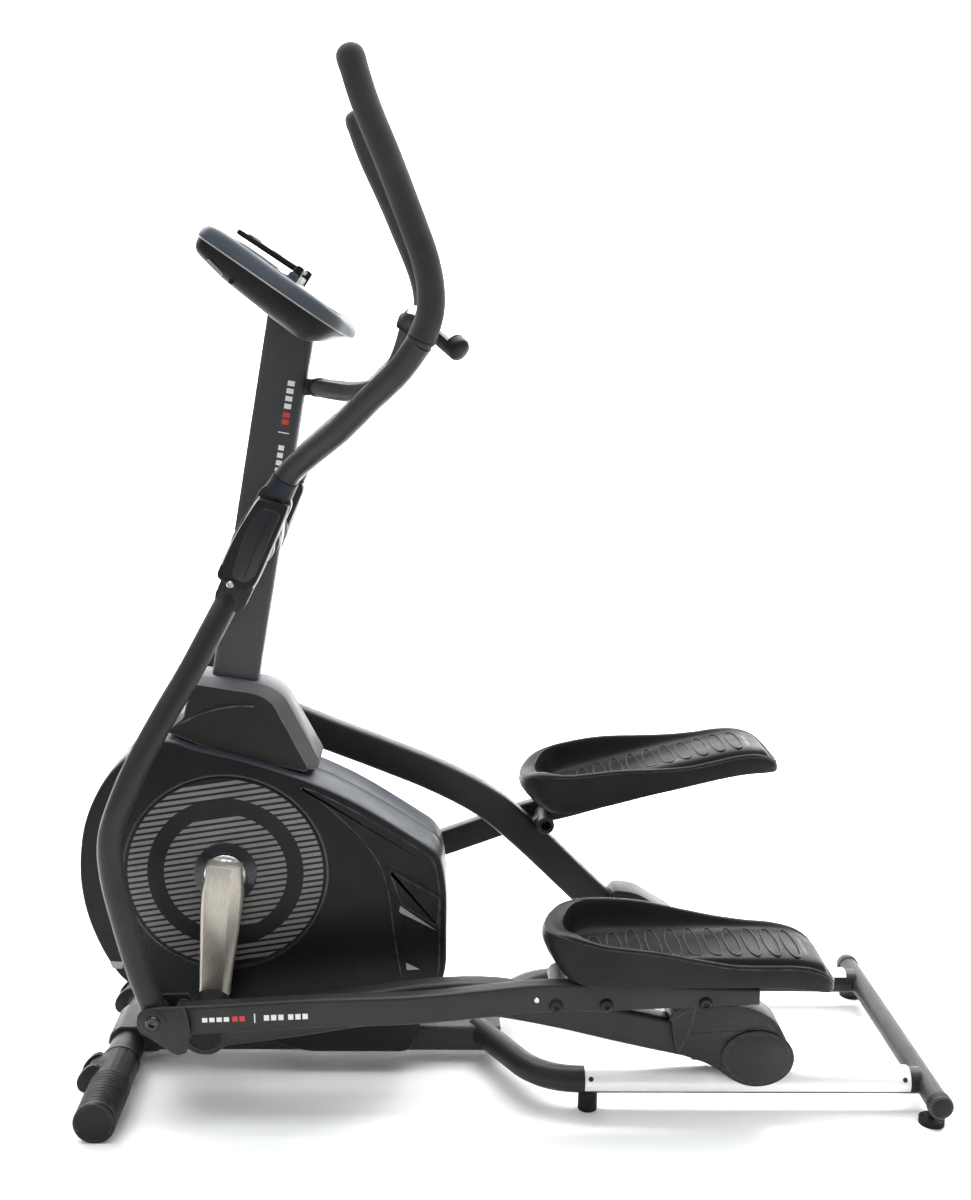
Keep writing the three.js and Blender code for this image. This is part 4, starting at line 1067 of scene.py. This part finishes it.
# ---- fixed handlebar and pulse grips --------------------------------------------------------------
FIXED_LINE = [(137, 0, 1134), (143, 32, 1134), (166, 60, 1131), (200, 85, 1129), (236, 110, 1138),
              (262, 130, 1163), (277, 145, 1195), (288, 160, 1232)]
PULSE_LINE = [(288, 160, 1233), (297, 178, 1241), (318, 205, 1232), (360, 250, 1198)]
far_half = [(x, -y, z) for x, y, z in reversed(FIXED_LINE[1:])]
both = sweep(along(far_half + FIXED_LINE, 170), 13.5, 32, ends=2.0)
clamp_section = rounded_section(15, 15, 5, 5)
clamp = Form().rings([[Vector((131 + a, b, z)) for a, b in clamp_section] for z in (1121, 1147)])
piece("fixed_handlebar_tube", both.joined(clamp), "frame", "mast", ("fixed_handlebar",), 34)


def arc_band(outer, inner, start, reach, steps):
    """A section through a thin curved sheet: out along one radius and back along the other."""
    angles = [math.radians(start + reach * k / steps) for k in range(steps + 1)]
    out = [(math.cos(a) * outer, math.sin(a) * outer) for a in angles]
    return out + [(math.cos(a) * inner, math.sin(a) * inner) for a in reversed(angles)]


def pulse_radius(share):
    return 17.6 - 0.7 * share


for side in SIDES:
    path = along(PULSE_LINE, 50)
    body_form = sweep(path, pulse_radius, 36, ends=8.0)
    sided("pulse_grip_body", side, body_form, "frame", "plastic", ("pulse_grip",), 60)
    plates = Form()
    for u0, u1 in ((10, 26), (29, 45)):
        rings = []
        for i in range(u0, u1 + 1):
            p = path[i]
            t = (path[min(i + 1, 50)] - path[i - 1]).normalized()
            s = t.cross(Vector((0, 0, 1))).normalized()
            up = s.cross(t)
            r = pulse_radius(i / 50)
            rings.append([p + s * a + up * b for a, b in arc_band(r + 0.9, r - 0.4, 24, 132, 12)])
        plates.rings(rings)
    sided("pulse_plate", side, plates, "frame", "metal", (), 40)
    collar_form = sweep(along([(286.4, 158, 1226), (288, 160, 1233), (290, 164, 1238)], 8), 18.6, 36)
    sided("pulse_collar", side, collar_form, "frame", "plastic", (), 50)
    ring = sweep(along([(140, 21, 1134), (142, 30, 1134), (145, 38, 1134)], 6), 14.7, 32)
    sided("fixed_bar_ring", side, ring, "frame", "plastic", (), 50)

# ---- console --------------------------------------------------------------------------------------
def console_point(x, y, z):
    c, s = math.cos(CONSOLE), math.sin(CONSOLE)
    return Vector((CONSOLE_X + x * c - z * s, y, CONSOLE_Z + x * s + z * c))


def on_console(form):
    return form.moved(lambda p: console_point(p.x, p.y, p.z))


PLAN = along([(0, 1, 0), (0, 60, 0), (3, 98, 0), (14, 117, 0), (40, 126, 0), (100, 138, 0), (170, 150, 0),
              (215, 148, 0), (245, 126, 0), (260, 90, 0), (268, 50, 0), (270, 1, 0)], 72)
CONSOLE_LOOP = [Vector(p) for p in plan_loop(PLAN)]


def console_rings(levels):
    """levels: (inset, height function, squeeze) from bottom to top, capped with strips across."""
    rings = []
    for distance, height, squeeze in levels:
        rings.append([Vector((q.x, q.y * squeeze, height(q.x))) for q in inset(CONSOLE_LOOP, distance)])
    return strip_capped(rings)


BELLY = [(0, -19), (10, -24), (38, -30), (71, -35.5), (132, -40), (180, -43), (216, -43), (236, -31),
         (250, -14), (262, -6), (270, -4)]
CROWN = [(0, 15), (8, 19), (30, 22), (134, 21), (230, 18.5), (258, 13.5), (270, 8)]


def belly(share):
    """The height of the underside, from the seam at share 0 to its full depth at share 1."""
    return lambda x: -3.2 + (between(BELLY, x) + 3.2) * share


def crown(share):
    """The height of the top, from the seam at share 0 to its full height at share 1."""
    return lambda x: -2.0 + (between(CROWN, x) + 2.0) * share


lower_shell = console_rings([(24, belly(1.0), 0.86), (15, belly(0.985), 0.89), (9, belly(0.93), 0.925),
                             (5.5, belly(0.8), 0.955), (3.6, belly(0.6), 0.98), (2.8, belly(0.35), 0.993),
                             (2.4, belly(0.12), 1.0), (2.4, belly(0.0), 1.0)])
piece("console_lower_shell", on_console(lower_shell), "frame", "plastic",
      ("console_lower",), 40)
upper_shell = console_rings([(1.2, crown(0.0), 1.0), (0.2, crown(0.08), 1.0), (0.0, crown(0.3), 1.0),
                             (0.6, crown(0.6), 1.0), (2.2, crown(0.82), 1.0), (5.0, crown(0.95), 1.0),
                             (9.0, crown(1.0), 1.0), (12, crown(1.0), 1.0)])
wall = slab(arc_outline([[142, 12, 0.5], [156, 12, 0.5], [156, 32, 4], [142, 32, 4]], 2, 5), -80,
            80, 1.5, 2)
lug = arc_outline([[142, 12], [158, 12], [158, 45], [146, 45]], 4, 5)
lugs = slab(lug, -76, -62, 1.5, 2).joined(slab(lug, 62, 76, 1.5, 2))
piece("console_upper_shell", on_console(upper_shell.joined(wall)), "frame", "slate",
      ("console_upper",), 40)
piece("tablet_bracket", on_console(lugs), "frame", "plastic")
trim_form = loop_tube([Vector((q.x, q.y, -2.4)) for q in inset(CONSOLE_LOOP, 0.5)], 1.1, 8)
piece("console_trim_line", on_console(trim_form), "frame", "lip", (), 60)
window = slab(arc_outline([[27, 20.2], [133, 20.2], [133, 21.4], [27, 21.4]], 0.4, 2), -84, 84, 0.4, 1)
piece("display_window", on_console(window), "frame", "glass", ("console_display",))
bezel = Form()
for y0, y1, x0, x1 in ((-90, -84, 22, 138), (84, 90, 22, 138), (-84, 84, 22, 27), (-84, 84, 133, 138)):
    bezel.joined(slab(arc_outline([[x0, 19.6], [x1, 19.6], [x1, 22.2], [x0, 22.2]], 0.8, 3), y0, y1,
                      0.6, 2))
piece("display_bezel", on_console(bezel), "frame", "gloss")
side_panel = slab(arc_outline([[160, 18.4, 2], [236, 17.0, 2], [236, 20.2, 2], [160, 21.0, 2]], 1.5, 3),
                  -112, 112, 0.8, 2)
piece("console_key_panel", on_console(side_panel), "frame", "lip")
for i in range(3):
    repaint(f"console_button_{i + 1}", "button", 0.8)
nose_half = slab(arc_outline([[240, -3.5, 1], [262, -3.5, 3], [271, 0, 3], [271.5, 8, 4], [262, 13.5, 4],
                              [240, 14, 1]], 2, 5), -96, 96, 3.0, 3, 3.0)
taper = nose_half.moved(lambda p: Vector((p.x - 14 * (abs(p.y) / 96) ** 2 * 1.3, p.y, p.z)))
piece("console_nose", on_console(taper), "frame", "silver", (), 40)
leaf = slab(arc_outline([[42, 31, 4], [140, 32.5, 2], [152, 35, 3], [152, 42, 3], [140, 42, 2],
                         [42, 39.4, 4]], 2, 5), -61.2, 61.2, 1.2, 3)
piece("tablet_flap_leaf", on_console(leaf), "tablet_flap", "plastic", ("tablet_flap",), 40)
ledge = slab(arc_outline([[58, 39.6, 1], [66, 39.6, 1], [66, 42.0, 1], [58, 42.0, 1]], 0.8, 3), -54,
             54, 0.5, 2)
ledge.joined(slab(arc_outline([[100, 40.4, 1], [104, 40.4, 1], [104, 41.8, 1], [100, 41.8, 1]], 0.6, 3),
                  -54, 54, 0.4, 2))
piece("tablet_flap_rib", on_console(ledge), "tablet_flap", "rubber")
for side in SIDES:
    screws = bolt(84, -30, 126.5, 128.7, 4.2).joined(bolt(186, -30, 139.5, 141.7, 4.2))
    piece(f"console_screws_{side}", on_console(for_side(screws, side)), "frame", "disc")
    plate = slab(arc_outline([[36, -27, 3], [66, -33, 3], [68, -27, 3], [38, -21, 3]], 3, 4), 108,
                 122.5, 1.0, 2)
    piece(f"console_side_plate_{side}", on_console(for_side(plate, side)), "frame", "lip")

# ---- front stabilizer and base --------------------------------------------------------------------
FX, FZ = -172.0, 32.5
for side in SIDES:
    repaint(f"front_cap_{side}", "plastic", 0.5)
    repaint(f"transport_wheel_{side}", "rubber", 0.6)
    profile = [[30.8, 176]]
    y = 178.0
    while y < 272:
        profile += [[31.6, y], [32.4, y + 1.2], [32.4, y + 5.0], [31.6, y + 6.2]]
        y += 8.6
    profile += [[31.0, 274.5], [30.8, 274.5]]
    sided("front_cap_ribs", side, turned(FX, FZ, profile, 72), "frame", "plastic", (), 30)
    flange = turned(FX, FZ, [[0.01, 283.4], [16, 283.4], [17.5, 284.2], [27, 284.2], [28.6, 285.6],
                             [31.6, 285.4], [32.5, 284], [32.5, 278], [31, 276.6], [0.01, 276.6]], 72)
    sided("front_cap_flange", side, flange, "frame", "plastic", (), 34)
    step = turned(FX, FZ, [[28.2, 98], [30.0, 98], [31.6, 100], [31.6, 107], [30.0, 109], [28.2, 109]], 72)
    sided("front_cap_step", side, step, "frame", "plastic", (), 40)
    guard = arc_outline([[-172, 62, 12], [-200, 57, 16], [-226, 42, 14], [-231, 27, 10], [-226, 13, 8],
                         [-200, 7, 10], [-172, 5, 12], [-150, 12, 16], [-141, 33, 20], [-150, 54, 16]],
                        12, 8)
    for y0, y1, tag in ((112.5, 121.6, "inner"), (150.4, 159.5, "outer")):
        sided(f"wheel_guard_{tag}", side, slab(guard, y0, y1, 2.4, 3), "frame", "plastic",
              (), 34)
    top_guard = arc_outline([[-172, 62, 8], [-200, 57, 12], [-214, 50, 8], [-209, 46, 3], [-198, 52, 8],
                             [-172, 60, 6]], 6, 6)
    sided("wheel_guard_top", side, slab(top_guard, 118, 154, 0.8, 2), "frame", "plastic",
          (), 40)

saddle_bolts = Form()
for y in (-30, 30):
    saddle_bolts.joined(turned_z(-192, y, [[0.01, 50], [7.5, 50], [7.5, 56.5], [6.4, 58], [0.01, 58]], 24))
    saddle_bolts.joined(turned_z(-150, y, [[0.01, 62], [9.5, 62], [9.5, 67.5], [8.2, 69.6], [3.6, 69.6],
                                           [3.2, 67.6], [0.01, 67.6]], 24))
piece("saddle_bolts", saddle_bolts, "frame", "gloss")

# ---- rails ----------------------------------------------------------------------------------------
def rail_path():
    """From the base beam outwards, round a bend and straight to the rear."""
    a, b, c = Vector((415, 10, RAIL_Z)), Vector((515, RAIL_Y, RAIL_Z)), Vector((1127, RAIL_Y, RAIL_Z))
    reach = 66
    p = b + (a - b).normalized() * reach
    q = b + (c - b).normalized() * reach
    out = [a + (p - a) * i / 10 for i in range(10)]
    out += [p * (1 - t) ** 2 + b * 2 * t * (1 - t) + q * t * t for t in (i / 14 for i in range(15))]
    out += [q + (c - q) * i / 16 for i in range(1, 17)]
    return out


SCREW_TILT = math.radians(28)


def on_strip(p, x):
    """Sets a screw drawn about the origin on the rail's strip, tilted up from its outer side."""
    c, s = math.cos(SCREW_TILT), math.sin(SCREW_TILT)
    return Vector((x + p.x, RAIL_Y + p.y * c - p.z * s, RAIL_Z + p.y * s + p.z * c))


for side in SIDES:
    sided("rail_tube", side, sweep(rail_path(), 21.0, 44), "frame", "steel", ("rail",), 34)
    section = arc_band(23.1, 21.15, -24, 164.8, 24)
    rings = []
    for x, shrink in ((583.0, 0.7), (583.6, 0.2), (584.4, 0.0), (1106.6, 0.0), (1107.4, 0.2),
                      (1108.0, 0.7)):
        size = 1 - shrink * 0.02
        rings.append([Vector((x, RAIL_Y + a * size, RAIL_Z + b * size)) for a, b in section])
    sided("rail_strip_sheet", side, Form().rings(rings), "frame", "strip",
          ("rail_strip",), 40)
    screws = Form()
    for x in (592.0, 1098.0):
        screws.joined(bolt(0, 0, 22.9, 24.4, 4.0).moved(lambda p, x=x: on_strip(p, x)))
    sided("strip_screws", side, screws, "frame", "plastic", (), 34)
    repaint(f"rail_foot_{side}", "rubber", 0.8)
    repaint(f"levelling_foot_{side}", "rubber", 0.8)
    cap = turned(1137, 47, [[0.01, 262.6], [13, 262.6], [16.6, 261.6], [18.6, 259.4], [19.9, 256],
                            [19.9, 245.6], [19.2, 244.8], [18.4, 244.6], [0.01, 244.6]], 64)
    sided("rear_cap", side, cap, "frame", "plastic", (), 40)

# ---- finishes for the CAD nodes that keep their shape ---------------------------------------------
KEPT = {"base_beam": ("steel", 1.5), "front_stabilizer": ("steel", 0.0), "rear_stabilizer": ("steel", 0.0),
        "upright_post": ("steel", 0.0), "crank_axle": ("metal", 0.0), "drive_pulley": ("plastic", 0.0),
        "drive_belt": ("belt", 0.0), "flywheel": ("iron", 0.0), "magnet_bracket": ("metal", 0.0),
        "handle_axle": ("metal", 0.6)}
for name, (material, bevel) in KEPT.items():
    repaint(name, material, bevel)

# ---- floor, light, camera -------------------------------------------------------------------------
depth = [(-24.0, 0.0), (-12.0, 0.0), (-4.0, 0.0), (2.2, 0.0), (3.0, 0.08), (3.6, 0.34), (4.1, 0.9),
         (4.3, 1.7), (4.35, 7.0)]
fine = along([(0, y, z) for y, z in depth], 240)
rows = [(p.y, max(p.z, 0.0)) for p in fine]
stage_mesh = bpy.data.meshes.new("studio_floor")
verts = [(x, y, z) for y, z in rows for x in (-24.0, 24.0)]
stage_mesh.from_pydata(verts, [], [(2 * i, 2 * i + 1, 2 * i + 3, 2 * i + 2) for i in range(len(rows) - 1)])
stage_obj = bpy.data.objects.new("studio_floor", stage_mesh)
bpy.context.scene.collection.objects.link(stage_obj)
for f in stage_mesh.polygons:
    f.use_smooth = True
paper = finish("studio_paper", (0.90, 0.90, 0.90), (0.94, 0.94, 0.935), (0.75, 0.9), 0.05, 300.0, 0.7,
               specular=0.1)
stage_mesh.materials.append(paper)
stage_obj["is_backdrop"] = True

world = bpy.data.worlds.new("studio")
world.use_nodes = True
sky = world.node_tree
shade = sky.nodes["Background"]
where = sky.nodes.new("ShaderNodeTexCoord").outputs["Generated"]
parts = sky.nodes.new("ShaderNodeSeparateXYZ")
sky.links.new(where, parts.inputs[0])
height = spread(sky, parts.outputs["Z"], 0.62, 1.0, 0.0, 0.7)
behind = spread(sky, parts.outputs["Y"], 0.55, 1.0, -0.7, 0.6)
power = sky.nodes.new("ShaderNodeMath")
power.operation = "MULTIPLY"
sky.links.new(height, power.inputs[0])
sky.links.new(behind, power.inputs[1])
sky.links.new(power.outputs[0], shade.inputs["Strength"])
shade.inputs["Color"].default_value = (0.93, 0.965, 1.0, 1.0)
bpy.context.scene.world = world


def lamp(name, place, target, size, power, colour):
    data = bpy.data.lights.new(name, "AREA")
    data.shape = "RECTANGLE"
    data.size, data.size_y = size
    data.energy = power
    data.color = colour
    obj = bpy.data.objects.new(name, data)
    bpy.context.scene.collection.objects.link(obj)
    obj.location = place
    obj.rotation_euler = (Vector(target) - Vector(place)).to_track_quat("-Z", "Y").to_euler()


lamp("overhead", (0.0, -0.2, 3.6), (0.0, 0.0, 0.4), (3.2, 1.8), 105, (0.96, 0.98, 1.0))
lamp("front_left", (-2.6, -2.6, 2.4), (-0.2, 0.0, 0.7), (1.0, 1.8), 10, (1.0, 0.97, 0.93))
lamp("front_right", (2.8, -2.2, 1.5), (0.2, 0.0, 0.5), (0.8, 1.6), 8, (1.0, 0.91, 0.80))
lamp("paper_wash_left", (-2.2, 2.0, 3.2), (-1.2, 4.2, 1.2), (2.4, 1.2), 260, (1.0, 1.0, 1.0))
lamp("paper_wash_right", (2.2, 2.0, 3.2), (1.2, 4.2, 1.2), (2.4, 1.2), 260, (1.0, 1.0, 1.0))
lamp("floor_wash", (0.0, 1.4, 3.0), (0.0, 1.2, 0.0), (5.0, 1.4), 190, (1.0, 1.0, 1.0))

camera_data = bpy.data.cameras.new("camera")
camera_data.lens = 42.0
camera_data.sensor_width = 36.0
camera_data.sensor_fit = "AUTO"
camera = bpy.data.objects.new("camera", camera_data)
bpy.context.scene.collection.objects.link(camera)
yaw, pitch, roll = (math.radians(v) for v in (2.23, 10.33, 1.30))
forward = Vector((math.sin(yaw) * math.cos(pitch), math.cos(yaw) * math.cos(pitch), -math.sin(pitch)))
right = Vector((math.cos(yaw), -math.sin(yaw), 0.0))
upward = right.cross(forward)
across = right * math.cos(roll) + upward * math.sin(roll)
above = upward * math.cos(roll) - right * math.sin(roll)
turn_matrix = Matrix((across, above, -forward)).transposed()
camera.matrix_world = Matrix.Translation(Vector((-0.133, -2.246, 1.206))) @ turn_matrix.to_4x4()
bpy.context.scene.camera = camera

scene = bpy.context.scene
scene.view_settings.view_transform = "Standard"
scene.view_settings.exposure = 0.0

low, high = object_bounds()
